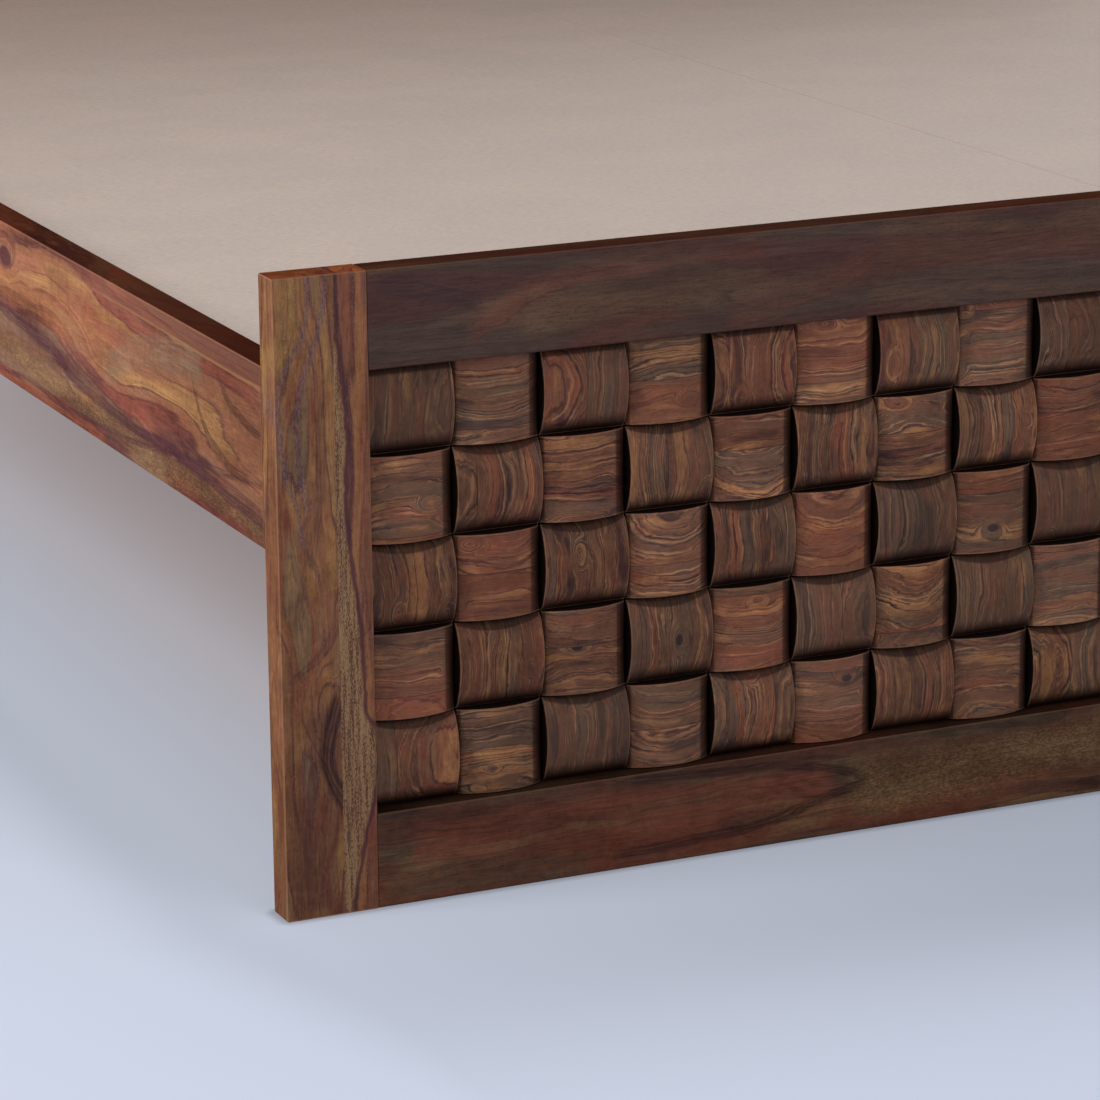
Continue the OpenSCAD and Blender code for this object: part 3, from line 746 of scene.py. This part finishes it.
def shape(piece: bpy.types.Object, mode: str, places: Sequence[int], *steps: Callable[[], object]) -> None:
    """Selects some vertices, edges or faces of a mesh and changes them in edit mode.

    Args:
        piece: The mesh object, which becomes the active one.
        mode: VERT, EDGE or FACE.
        places: The numbers of the elements.
        steps: The changes, one after the other.
    """
    unselect()
    bpy.context.view_layer.objects.active = piece
    piece.select_set(True)
    bpy.ops.object.mode_set(mode="EDIT")
    bpy.ops.mesh.select_mode(type=mode)
    bpy.ops.mesh.select_all(action="DESELECT")
    bpy.ops.object.mode_set(mode="OBJECT")
    group = {"VERT": piece.data.vertices, "EDGE": piece.data.edges, "FACE": piece.data.polygons}[mode]
    for number in places:
        group[number].select = True
    bpy.ops.object.mode_set(mode="EDIT")
    for step in steps:
        step()
    bpy.ops.object.mode_set(mode="OBJECT")


def sink(drop: float, share: float) -> None:
    """Extrudes the selected face down and scales it to a share of its size."""
    bpy.ops.mesh.extrude_region_move(TRANSFORM_OT_translate={"value": (0, 0, -drop)})
    bpy.ops.transform.resize(value=(share, share, 1))


def join_copies(source: bpy.types.Object, places: Sequence[Matrix], name: str) -> bpy.types.Object:
    """Copies a modelled shape to many places and joins the copies.

    Args:
        source: The shape, centred on the origin. It is deleted.
        places: Where each copy goes.
        name: The joined piece's name.

    Returns:
        The joined piece, its object at the origin.
    """
    unselect()
    copies = []
    for place in places:
        copy = source.copy()
        copy.data = source.data.copy()
        copy.data.transform(place)
        bpy.context.collection.objects.link(copy)
        copy.select_set(True)
        copies.append(copy)
    bpy.data.objects.remove(source)
    bpy.context.view_layer.objects.active = copies[0]
    bpy.ops.object.join()
    unselect()
    copies[0].name = name
    copies[0].data.name = name
    return copies[0]


def stand_in(piece: bpy.types.Object, node: str, material: bpy.types.Material) -> None:
    """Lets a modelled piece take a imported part's place.

    Args:
        piece: The new piece.
        node: The part that it stands for.
        material: Its material.
    """
    piece.data.materials.clear()
    piece.data.materials.append(material)
    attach(piece, "root")
    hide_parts(node)
    LOG.info("modelled %s in place of %s, %d faces", piece.name, node, len(piece.data.polygons))


class BlockKind(Enum):
    """The two ways that the blocks of a panel lie, as the row and column's parity and the node's ending."""

    UPRIGHT = (0, "upright_blocks")
    CROSSWISE = (1, "crosswise_blocks")


@dataclass
class BlockPanel:
    """A panel of arched blocks, laid turn and turn about like a basket weave.

    An upright block's grain stands and its low edges are above and below. A crosswise block's grain
    lies and its low edges are at its sides. The knot shares are an upright and a crosswise strip's.
    """

    end: str
    rows: int
    seed: float
    columns: int = 26
    gap: float = 0.8 * MM
    edge_height: float = 2.6 * MM
    rise: float = 10.5 * MM
    roll_radius: float = 14 * MM
    roll_slope: float = math.radians(55)
    arris: float = 0.7 * MM
    roll_steps: int = 4
    crown_steps: int = 3
    knot_shares: Tuple[float, float] = (0.04, 0.16)

    def __post_init__(self) -> None:
        """Takes the field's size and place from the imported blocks."""
        self.low, self.high = joint_box(*(self.node(kind) for kind in BlockKind))
        self.pitch_x = (self.high.x - self.low.x + self.gap) / self.columns
        self.pitch_z = (self.high.z - self.low.z + self.gap) / self.rows

    def node(self, kind: BlockKind) -> str:
        """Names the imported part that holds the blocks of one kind."""
        return f"{self.end}_{kind.value[1]}"

    def section(self, span: float) -> List[Tuple[float, float]]:
        """Works out the arched section of a block.

        Args:
            span: The block's length between its low edges.

        Returns:
            Points from one low edge to the other, as a place along the span and a height.
        """
        half = span / 2
        roll_x = half - self.roll_radius * math.sin(self.roll_slope)
        roll_z = -self.roll_radius * math.cos(self.roll_slope)
        drop = self.rise - roll_z
        crown = (roll_x ** 2 + drop ** 2 - self.roll_radius ** 2) / (2 * (drop - self.roll_radius))
        lean = math.asin(roll_x / (crown - self.roll_radius))
        top = self.edge_height + self.rise
        points = []
        for step in range(self.roll_steps):
            angle = self.roll_slope + (lean - self.roll_slope) * step / self.roll_steps
            points.append((-roll_x - self.roll_radius * math.sin(angle),
                           self.edge_height + roll_z + self.roll_radius * math.cos(angle)))
        for step in range(self.crown_steps):
            angle = lean * (1 - step / self.crown_steps)
            points.append((-crown * math.sin(angle), top - crown + crown * math.cos(angle)))
        return points + [(0.0, top)] + [(-x, z) for x, z in reversed(points)]

    def model_block(self, kind: BlockKind) -> bpy.types.Object:
        """Models one block, centred on the origin with its back at Y = 0 and its face towards -Y.

        Args:
            kind: Which way the block lies.

        Returns:
            The block.
        """
        span, width = self.pitch_x - self.gap, self.pitch_z - self.gap
        turn = Matrix.Rotation(QUARTER_TURN, 4, "X")
        if kind is BlockKind.UPRIGHT:
            span, width = width, span
            turn = turn @ Matrix.Rotation(QUARTER_TURN, 4, "Z")
        points = self.section(span)
        unselect()
        bpy.ops.mesh.primitive_cube_add(size=1, location=(0, 0, 0))
        block = bpy.context.object
        block.scale = (span, width, self.edge_height)
        block.location = (0, 0, self.edge_height / 2)
        bpy.ops.object.transform_apply(location=True, rotation=True, scale=True)
        data = block.data

        def ends(edge: bpy.types.MeshEdge) -> List[Vector]:
            """Gives the places of an edge's two ends."""
            return [data.vertices[number].co for number in edge.vertices]

        def on_front(first: Vector, second: Vector) -> bool:
            """Says whether an edge between two places runs round the block's arched face."""
            if min(first.z, second.z) < self.edge_height * 0.9:
                return False
            return any(abs(abs(one) - reach / 2) < TINY and abs(one - other) < TINY
                       for one, other, reach in ((first.y, second.y, width), (first.x, second.x, span)))

        lengthwise = [edge.index for edge in data.edges
                      if abs(ends(edge)[0].x - ends(edge)[1].x) > span / 2]
        shape(block, "EDGE", lengthwise, lambda: bpy.ops.mesh.subdivide(number_cuts=len(points) - 2))
        self.raise_columns(block, points, span)
        flat = [face.index for face in data.polygons if face.normal.z < 0.1]
        shape(block, "FACE", flat, lambda: bpy.ops.mesh.dissolve_limited(angle_limit=math.radians(0.5)))
        front = [edge.index for edge in data.edges if on_front(*ends(edge))]
        shape(block, "EDGE", front,
              lambda: bpy.ops.mesh.bevel(offset=self.arris, segments=1, affect="EDGES"))
        block.data.transform(turn)
        bpy.ops.object.shade_smooth_by_angle(angle=SMOOTH_ANGLE)
        return block

    def raise_columns(self, block: bpy.types.Object, points: Line, span: float) -> None:
        """Moves each row of front vertices to its point of the section.

        Args:
            block: The subdivided bar.
            points: The section.
            span: The bar's length.
        """
        last = len(points) - 1
        spots = {}
        for vertex in block.data.vertices:
            column = round((vertex.co.x / span + 0.5) * last)
            spots.setdefault((column, vertex.co.z > self.edge_height / 2), []).append(vertex.index)
        for (column, raised), numbers in spots.items():
            x, z = points[column]
            shift = (x - (column / last - 0.5) * span, 0, z - self.edge_height if raised else 0)
            shape(block, "VERT", numbers, lambda: bpy.ops.transform.translate(value=shift))

    def places(self, kind: BlockKind) -> List[Matrix]:
        """Lists where the blocks of one kind go, from the top row down and from the left."""
        left, top = self.low.x - self.gap / 2, self.high.z + self.gap / 2
        return [Matrix.Translation((left + (column + 0.5) * self.pitch_x, self.high.y,
                                    top - (row + 0.5) * self.pitch_z))
                for row in range(self.rows) for column in range(self.columns)
                if (row + column) % 2 == kind.value[0]]

    def light(self, sheet: NodeSheet, kind: BlockKind, row: Wire, place: Tuple[Wire, Wire],
              half: Tuple[float, float]) -> Wire:
        """Works out how much light reaches a block between its neighbours.

        Args:
            sheet: The material's nodes.
            kind: Which way the block lies.
            row: The block's row, from the lowest one.
            place: The point along and across the grain, from the block's middle.
            half: Half the pitch along and across the grain.

        Returns:
            The share of the light, least near the block's low edges.
        """
        (along, across), (half_along, half_across) = place, half
        if kind is BlockKind.UPRIGHT:
            downhill, band, reach = along, 4.0, 14.0
            top_row = sheet.math("GREATER_THAN", row, self.rows - 1.5)
            off_middle = across / half_across
            shadow = 8.5 - (off_middle * off_middle * 6.5) * (1.0 - top_row) - top_row * 1.5
        else:
            downhill, band, reach, shadow = along * -1.0, 9.0, 12.0, 3.2
        upper = sheet.step(downhill + shadow, half_along - 0.8, half_along + 0.8, 1.0, 0.34)
        lower = sheet.step(downhill, band - 0.7 - half_along, band + 0.7 - half_along, 0.5, 1.0)
        lower = lower * sheet.step(downhill, 3.0 - half_along, reach - half_along, 0.1, 1.0)
        return upper * lower

    def material(self, kind: BlockKind) -> bpy.types.Material:
        """Makes the blocks' wood, with a figure and a tone of its own in each block, and painted shadows,
        edge highlights and dark gaps.

        Args:
            kind: Which way the grain runs.

        Returns:
            The material.
        """
        sheet = NodeSheet(f"{self.node(kind)}_oiled_wood")
        x, y, z = sheet.place_mm()
        numbers, inner, halves = [], [], []
        for at, low, pitch in ((x, self.low.x, self.pitch_x / MM), (z, self.low.z, self.pitch_z / MM)):
            number = ((at - low / MM) / pitch + self.gap / MM / pitch / 2).floor()
            numbers.append(number)
            inner.append(at - (number + 0.5) * pitch - (low - self.gap / 2) / MM)
            halves.append(pitch / 2)
        column, row = numbers
        upright = kind is BlockKind.UPRIGHT
        across, along = inner if upright else reversed(inner)
        half_across, half_along = halves if upright else reversed(halves)
        joint = (sheet.chance(column, row, self.seed + 90.0)[0] - 0.5) * (2.3 * half_across)
        strip = column + sheet.math("GREATER_THAN", across, joint) * 37.0
        first, second, third = (sheet.chance(strip, row, self.seed + more) for more in (0.0, 50.0, 70.0))
        has_knot = sheet.math("LESS_THAN", third[2], self.knot_shares[kind.value[0]])
        knot = Knot((third[0] - 0.5) * half_along, (third[1] - 0.5) * half_across, 17, 11,
                    has_knot * 0.7, has_knot * 1.2 - 1.0)
        aside = first[0] - 0.5
        point = WoodPoint(along, across, y - self.low.y / MM, aside * 240 + sheet.math("SIGN", aside) * 30,
                          first[1] * 40 + 20, (first[2] - 0.5) * 0.12, second[0] * 20.0)
        colour, fibre, pore = wood_figure(sheet, point, BLOCK_TONES, replace(BLOCK_FIGURE, knots=(knot,)))
        olive, red, dark = (0.4, 0.15, 0.7) if upright else (0.3, 0.3, 0.88)
        glue = sheet.step((across - joint).size(), 0.5, 0.15, 0.0, 0.6)
        for share, tone in ((sheet.step(second[1], 0.4, 0.9, 0.0, olive), BLOCK_TONES.olive),
                            (sheet.step(second[1], 0.4, 0.1, 0.0, red), BLOCK_TONES.red),
                            (glue, BLOCK_TONES.purple)):
            colour = sheet.mix(share, colour, tone)
        colour = sheet.scale(colour, second[2] * 0.44 + dark)
        light = self.light(sheet, kind, row, (along, across), (half_along, half_across))
        # Painted shadow: the block darkens towards the tones' top colour under its neighbours and near its
        # low edges.
        colour = sheet.mix(light, BLOCK_TONES.top, colour)
        # Painted highlight: a pale line along the block's side edges.
        edge = sheet.step(across.size(), half_across - 1.9, half_across - 1.2, 0.0, 0.3)
        colour = sheet.mix(edge, colour, BLOCK_TONES.arris)
        # Painted shade: the side walls and low ends in the gaps between blocks are painted near black.
        wall = sheet.step(across.size(), half_across - 0.8, half_across - 0.5)
        low_end_shade = sheet.step(along.size(), half_along - 0.9, half_along - 0.6)
        colour = sheet.mix(sheet.math("MAXIMUM", wall, low_end_shade), colour, BLOCK_TONES.end)
        return sheet.finish(colour, sheet.step(fibre, 0.3, 0.7, 0.44, 0.56), fibre * 0.4 - pore,
                            depth_mm=0.1, Specular_IOR_Level=0.04)

    def build(self) -> None:
        """Models both kinds of block and lays them in the panel."""
        for kind in BlockKind:
            piece = join_copies(self.model_block(kind), self.places(kind), f"{self.node(kind)}_arched")
            stand_in(piece, self.node(kind), self.material(kind))


@dataclass(frozen=True)
class PlainTimber:
    """The planed softwood of the parts that the bed hides."""

    node: str
    grain: Grain

    def dress(self) -> None:
        """Puts the timber's material on its part."""
        sheet = NodeSheet(f"{self.node}_planed_timber")
        low, high = (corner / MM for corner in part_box(self.node))
        at = sheet.place_mm()
        place = [at[axis] - (low[axis] + high[axis]) / 2 for axis in self.grain.value]
        along, across, deep = place
        slow = sheet.noise(place, (300, 40), shift=(low.y, 0, 0))
        radius = sheet.length(across + (slow - 0.5) * 30 + 12, deep + 45 + along * 0.02)
        fibre = sheet.noise(place, (20, 1), detail=3)
        rings = sheet.step(sheet.layers(radius / 2.6, detail=1), 0.35, 0.65)
        colour = sheet.mix(rings, (206, 172, 126), (178, 136, 90))
        colour = sheet.scale(colour, sheet.step(fibre, 0.2, 0.8, 0.88, 1.1))
        dress_node(self.node, sheet.finish(colour, 0.7, fibre, depth_mm=0.08))


@dataclass(frozen=True)
class BackingPly:
    """The plywood that the blocks are glued to, seen from behind."""

    node: str

    def dress(self) -> None:
        """Puts the plywood's material on the board."""
        sheet = NodeSheet(f"{self.node}_plywood")
        place = sheet.place_mm()
        wander = sheet.noise(place, (500, 1, 90))
        rings = sheet.layers((place[2] + (wander - 0.5) * 170) / 13)
        fibre = sheet.noise(place, (26, 1, 1.1), detail=3)
        colour = sheet.mix(sheet.step(rings, 0.3, 0.7), (146, 104, 78), (128, 88, 64))
        colour = sheet.scale(colour, sheet.step(fibre, 0.2, 0.8, 0.85, 1.12))
        dress_node(self.node, sheet.finish(colour, 0.62, fibre, depth_mm=0.08))


@dataclass(frozen=True)
class DeckSheet:
    """The pale pressed board of the deck, with fine flecks, faint clouds and a painted reddish shade towards
    the headboard.
    """

    node: str

    def dress(self) -> None:
        """Puts the board's material on the sheet."""
        sheet = NodeSheet(f"{self.node}_pressed_board")
        place = sheet.place_mm()
        cloud = sheet.noise(place, (160, 120), detail=3)
        tint = sheet.noise(place, (90, 70), shift=(0, 0, 8))
        fleck = sheet.noise(place, (7, 1.6), rough=0.7)
        grit = sheet.noise(place, (2.2, 2.2), detail=1)
        colour = sheet.mix(sheet.step(tint, 0.4, 0.6), (177, 161, 149), (174, 160, 149))
        # Painted shade: darker and redder towards the headboard, with a painted reddish bounce from it.
        colour = sheet.mix(sheet.step(place[1], -500.0, 1000.0, 0.0, 0.3), colour, (148, 121, 102))
        level = sheet.step(cloud, 0.3, 0.7, 0.98, 1.02) * sheet.step(fleck, 0.25, 0.75, 0.88, 1.1)
        colour = sheet.scale(colour, level - sheet.step(grit, 0.66, 0.78, 0.0, 0.12))
        dress_node(self.node, sheet.finish(colour, 0.8, fleck, depth_mm=0.1))


@dataclass(frozen=True)
class ZincSteel:
    """Bright zinc plate, as on the joining plates and screws."""

    name: str

    def material(self) -> bpy.types.Material:
        """Makes the steel, with faint clouds and rubbed streaks."""
        sheet = NodeSheet(self.name)
        place = sheet.place_mm()
        cloud = sheet.noise(place, (6, 6), detail=3)
        rub = sheet.noise(place, (12, 0.5))
        colour = sheet.mix(sheet.step(cloud, 0.35, 0.65), (178, 180, 184), (150, 154, 162))
        return sheet.finish(colour, sheet.step(rub, 0.3, 0.7, 0.28, 0.45), rub, depth_mm=0.02, Metallic=1.0)


@dataclass(frozen=True)
class WoodScrews:
    """Countersunk screws with a star recess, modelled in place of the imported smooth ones.

    The recess is measured in the head's width, and the star's waist is a share of its points' reach.
    """

    node: str
    axis: int
    shank: float
    head: float
    length: float
    sides: int = 12
    recess_inset: float = 0.21
    recess_depth: float = 0.24
    star_waist: float = 0.66

    def model_screw(self) -> bpy.types.Object:
        """Models one screw, the top of its head at the origin and its point towards -Z.

        Returns:
            The screw.
        """
        unselect()
        bpy.ops.mesh.primitive_circle_add(vertices=self.sides, radius=self.head / 2, fill_type="NGON")
        screw = bpy.context.object
        cone = (self.head - self.shank) / 2
        shape(screw, "FACE", [0],
              lambda: sink(cone, self.shank / self.head),
              lambda: sink(self.length - cone - self.shank, 1.0),
              lambda: sink(self.shank, 0.1))
        shape(screw, "FACE", [self.top_face(screw.data)],
              lambda: bpy.ops.mesh.inset(thickness=self.head * self.recess_inset))
        waist = list(screw.data.polygons[self.top_face(screw.data)].vertices)[::2]
        shape(screw, "VERT", waist,
              lambda: bpy.ops.transform.resize(value=(self.star_waist, self.star_waist, 1)))
        shape(screw, "FACE", [self.top_face(screw.data)],
              lambda: sink(self.recess_depth * self.head, 0.85),
              lambda: bpy.ops.mesh.select_all(action="SELECT"),
              lambda: bpy.ops.mesh.normals_make_consistent(inside=False))
        bpy.ops.object.shade_smooth_by_angle(angle=SMOOTH_ANGLE)
        return screw

    def top_face(self, data: bpy.types.Mesh) -> int:
        """Finds the face in the middle of the head's top, by its vertices."""
        flat = [face for face in data.polygons
                if len(face.vertices) == self.sides and abs(face.center.z) < TINY]
        return min(flat, key=lambda face: face.area).index

    def places(self) -> List[Matrix]:
        """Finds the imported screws' heads, which are the flat discs across their axis.

        Returns:
            A place for each screw, with +Z out of its head.
        """
        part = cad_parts[self.node]
        discs = []
        for face in part.data.polygons:
            normal = (part.matrix_world.to_3x3() @ face.normal).normalized()
            if abs(normal[self.axis]) < 0.999:
                continue
            middle = part.matrix_world @ face.center
            spots = [part.matrix_world @ part.data.vertices[number].co for number in face.vertices]
            near = next((disc for disc in discs if (disc[0] - middle).length < self.head), None)
            if near:
                near[2].extend(spots)
            else:
                discs.append((middle, normal, spots))
        places = []
        for middle, normal, spots in discs:
            low, high = (Vector(map(limit, zip(*spots))) for limit in (min, max))
            turn = normal.to_track_quat("Z", "Y").to_matrix().to_4x4()
            places.append(Matrix.Translation((low + high) / 2) @ turn)
        return places

    def build(self, steel: bpy.types.Material) -> None:
        """Models the screw and sets a copy of it in each place."""
        piece = join_copies(self.model_screw(), self.places(), f"{self.node}_star_recess")
        stand_in(piece, self.node, steel)


@dataclass
class Studio:
    """The camera, the soft lamps, the pale background and the floor."""

    camera_at: Tuple[float, float, float] = (-1.9602, -3.7158, 1.0591)
    yaw: float = math.radians(24.407)
    pitch: float = math.radians(15.330)
    roll: float = math.radians(-0.5)
    lens_mm: float = FOCAL_PIXELS * SENSOR_MM / PHOTO_PIXELS
    lamp_size: float = 2.6
    lamp_aim: Tuple[float, float, float] = (0, -0.3, 0.4)
    floor_size: float = 60.0
    lift: float = 0.3

    def camera(self) -> None:
        """Sets up the camera at the photograph's angle."""
        data = bpy.data.cameras.new("camera")
        data.sensor_width = SENSOR_MM
        data.lens = self.lens_mm
        data.clip_end = VIEW_REACH
        camera = bpy.data.objects.new("camera", data)
        bpy.context.collection.objects.link(camera)
        camera.matrix_world = (Matrix.Translation(self.camera_at) @ Matrix.Rotation(-self.yaw, 4, "Z")
                               @ Matrix.Rotation(QUARTER_TURN - self.pitch, 4, "X")
                               @ Matrix.Rotation(self.roll, 4, "Z"))
        bpy.context.scene.camera = camera

    def lamp(self, name: str, at: Tuple[float, float, float], power: float, colour: Colour) -> None:
        """Hangs one square soft lamp that faces the bed.

        Args:
            name: The lamp's name.
            at: Its place.
            power: Its power in watts.
            colour: The light's colour.
        """
        data = bpy.data.lights.new(name, "AREA")
        data.shape = "SQUARE"
        data.size = self.lamp_size
        data.energy = power
        data.color = linear(colour)[:3]
        lamp = bpy.data.objects.new(name, data)
        lamp.location = at
        lamp.rotation_mode = "QUATERNION"
        lamp.rotation_quaternion = (Vector(self.lamp_aim) - Vector(at)).to_track_quat("-Z", "Y")
        bpy.context.collection.objects.link(lamp)

    def background(self) -> None:
        """Lights the scene from all round, and shows a pale wall to the camera, in glass and in gloss."""
        sheet = NodeSheet("studio", "World")
        bpy.context.scene.world = sheet.owner
        light = sheet.add("ShaderNodeBackground", {"Color": linear((238, 240, 250)), "Strength": 0.4})
        wall = sheet.add("ShaderNodeBackground", {"Color": linear((226, 228, 238))})
        sheet.show(wall, light, 1.0)

    def floor(self) -> None:
        """Lays the pale floor, with a painted shade round the bed, whose shadows look paler than the light
        that it gives the bed.
        """
        bed_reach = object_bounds()[1] / MM
        unselect()
        bpy.ops.mesh.primitive_plane_add(size=self.floor_size, location=(0, 0, 0))
        floor = bpy.context.object
        floor.name = "studio_floor"
        sheet = NodeSheet("pale_floor")
        place = sheet.place_mm()
        cloud = sheet.noise(place, (900, 900, 1))
        under, shade = self.round_bed(sheet, place, bed_reach)
        colour = sheet.mix(sheet.step(cloud, 0.3, 0.7), (193, 205, 226), (197, 209, 228))
        # Painted shade round the bed, and a painted warm bounced light under it.
        colour = sheet.scale(sheet.mix(under, colour, (196, 190, 198)), shade)
        floor.data.materials.append(sheet.finish(colour, 0.6))
        far = sheet.step(sheet.length(place[0], place[1]), 2600, 6500)
        # The glow carries the painted warm bounce under the bed, and its strength the painted shade.
        glow = sheet.mix(far, sheet.mix(under, (212, 214, 223), (214, 199, 198)), (228, 230, 240))
        shown = sheet.add("ShaderNodeEmission", {"Color": glow, "Strength": shade})
        sheet.show(shown, sheet.shader, far * (0.95 - self.lift) + self.lift)
        floor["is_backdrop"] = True

    def round_bed(self, sheet: NodeSheet, place: Three, reach: Vector) -> Tuple[Wire, Wire]:
        """Works out the painted soft shade round the bed on the floor, most of it in front of its ends.

        A narrow painted contact shadow follows the two end boards, where they stand on the floor.

        Args:
            sheet: The floor's nodes.
            place: The floor's point in millimetres.
            reach: The bed's far corner in millimetres.

        Returns:
            How far a point is under the bed, from 0 to 1, and how much of the floor's light is left.
        """
        past = [at.size() - edge for at, edge in zip(place[:2], reach)]
        beside, before = (sheet.math("MAXIMUM", beyond, 0.0) for beyond in past)
        away = beside * 3.4 + before
        # Painted shade, strongest in front of the bed's ends and fading beside it.
        shade = sheet.step(away, 480.0, 0.0, 0.0, 0.36) * sheet.step(away, 0.0, 250.0, 0.4, 1.0)
        shade = shade * sheet.step(place[0].size(), 980.0, 350.0, 0.62, 1.15)
        # Painted contact shadow along the feet of the end boards.
        foot = sheet.math("MAXIMUM", (place[1].size() - reach.y + 12.5).size() - 12.5, 0.0)
        shade = shade + sheet.step(beside + foot, 10.0, 0.0, 0.0, 0.3)
        return sheet.step(sheet.math("MAXIMUM", *past), -20.0, -330.0), 1.0 - shade

    def build(self) -> None:
        """Puts up the whole studio."""
        bpy.context.scene.view_settings.view_transform = "Standard"
        self.camera()
        self.lamp("key_lamp", (-4.8, -1.2, 3.4), 260, (255, 250, 244))
        self.lamp("front_lamp", (0.6, -5.2, 2.6), 90, (248, 250, 255))
        self.lamp("back_lamp", (3.6, 3.8, 3.2), 100, (250, 252, 255))
        self.background()
        self.floor()
        LOG.info("studio is up")


def hardwood_boards() -> List[HardwoodBoard]:
    """Lists the oiled boards, each with a figure of its own."""
    boards = []
    for end, shift in (("foot", 0.0), ("head", 4.0)):
        for side, turn in (("left", 1.0), ("right", -1.0)):
            outer, inner = f"{end}_{side}_outer_stave", f"{end}_{side}_inner_stave"
            outer_figure = replace(OUTER_FIGURE, seed=1.3 + shift + turn, pith=(turn * -6, 12))
            inner_figure = replace(INNER_FIGURE, seed=2.1 + shift + turn, pith=(turn * 40, 20))
            stripe = ()
            if (end, side) == ("foot", "left"):
                outer_figure = replace(outer_figure, knots=(Knot(-76, 6, 52, 20, 1.6),), streaks=POST_STREAKS)
                inner_figure = replace(inner_figure, streaks=STAVE_STREAKS)
                stripe = GOLD_STRIPE
            boards.append(HardwoodBoard(outer, "post_wood", Grain.ALONG_Z, POST_TONES, outer_figure,
                                        (inner,), (2, 60, 190, 0.78)))
            boards.append(HardwoodBoard(inner, "post_wood", Grain.ALONG_Z, STAVE_TONES, inner_figure,
                                        (outer,), (2, 60, 190, 0.88), stripe))
        boards.append(HardwoodBoard(f"{end}_top_rail", "rail_wood", Grain.ALONG_X, TOP_TONES,
                                    replace(TOP_FIGURE, seed=3.7 + shift)))
        boards.append(HardwoodBoard(f"{end}_bottom_rail", "rail_wood", Grain.ALONG_X, LOW_TONES,
                                    replace(LOW_FIGURE, seed=5.2 + shift)))
    for side, seed, knots in (("left", 8.1, (Knot(-418, 38, 44, 24, 1.9, 0.28),)), ("right", 9.6, ())):
        boards.append(HardwoodBoard(f"{side}_side_rail", "side_rail_wood", Grain.ALONG_Y, SIDE_TONES,
                                    replace(SIDE_FIGURE, seed=seed, knots=knots),
                                    shade=(1, -980, -600, 0.68), top_strip=13.0))
    return boards


def hidden_parts() -> List[Union[PlainTimber, BackingPly, DeckSheet]]:
    """Lists the finishes of the timber, plywood and deck."""
    return [*(PlainTimber(f"{side}_ledger", Grain.ALONG_Y) for side in ("left", "right")),
            PlainTimber("centre_beam", Grain.ALONG_Y),
            *(PlainTimber(f"slat_{number}", Grain.ALONG_X) for number in range(1, 9)),
            *(PlainTimber(f"centre_leg_{number}", Grain.ALONG_Z) for number in range(1, 4)),
            *(BackingPly(f"{end}_backing_board") for end in ("foot", "head")),
            *(DeckSheet(f"{side}_deck_sheet") for side in ("left", "right"))]


def main() -> None:
    """Builds the studio, the panels and the finishes."""
    logging.basicConfig(level=logging.INFO, format="%(name)s: %(message)s")
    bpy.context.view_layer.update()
    Studio().build()
    for panel in (BlockPanel("foot", 5, 3.0), BlockPanel("head", 8, 11.0)):
        panel.build()
    for board in hardwood_boards() + hidden_parts():
        board.dress()
    plates = ZincSteel("zinc_plate").material()
    for node in ("hook_plates", "slot_plates"):
        dress_node(node, plates)
    screws = ZincSteel("zinc_screw").material()
    for node in ("hook_plate_screws", "slot_plate_screws", "slat_screws"):
        dress_node(node, screws)
    WoodScrews("backing_screws", 1, 3 * MM, 5.6 * MM, 16 * MM).build(screws)
    WoodScrews("ledger_screws", 0, 4 * MM, 7.6 * MM, 40 * MM).build(screws)


if __name__ == "__main__":
    main()
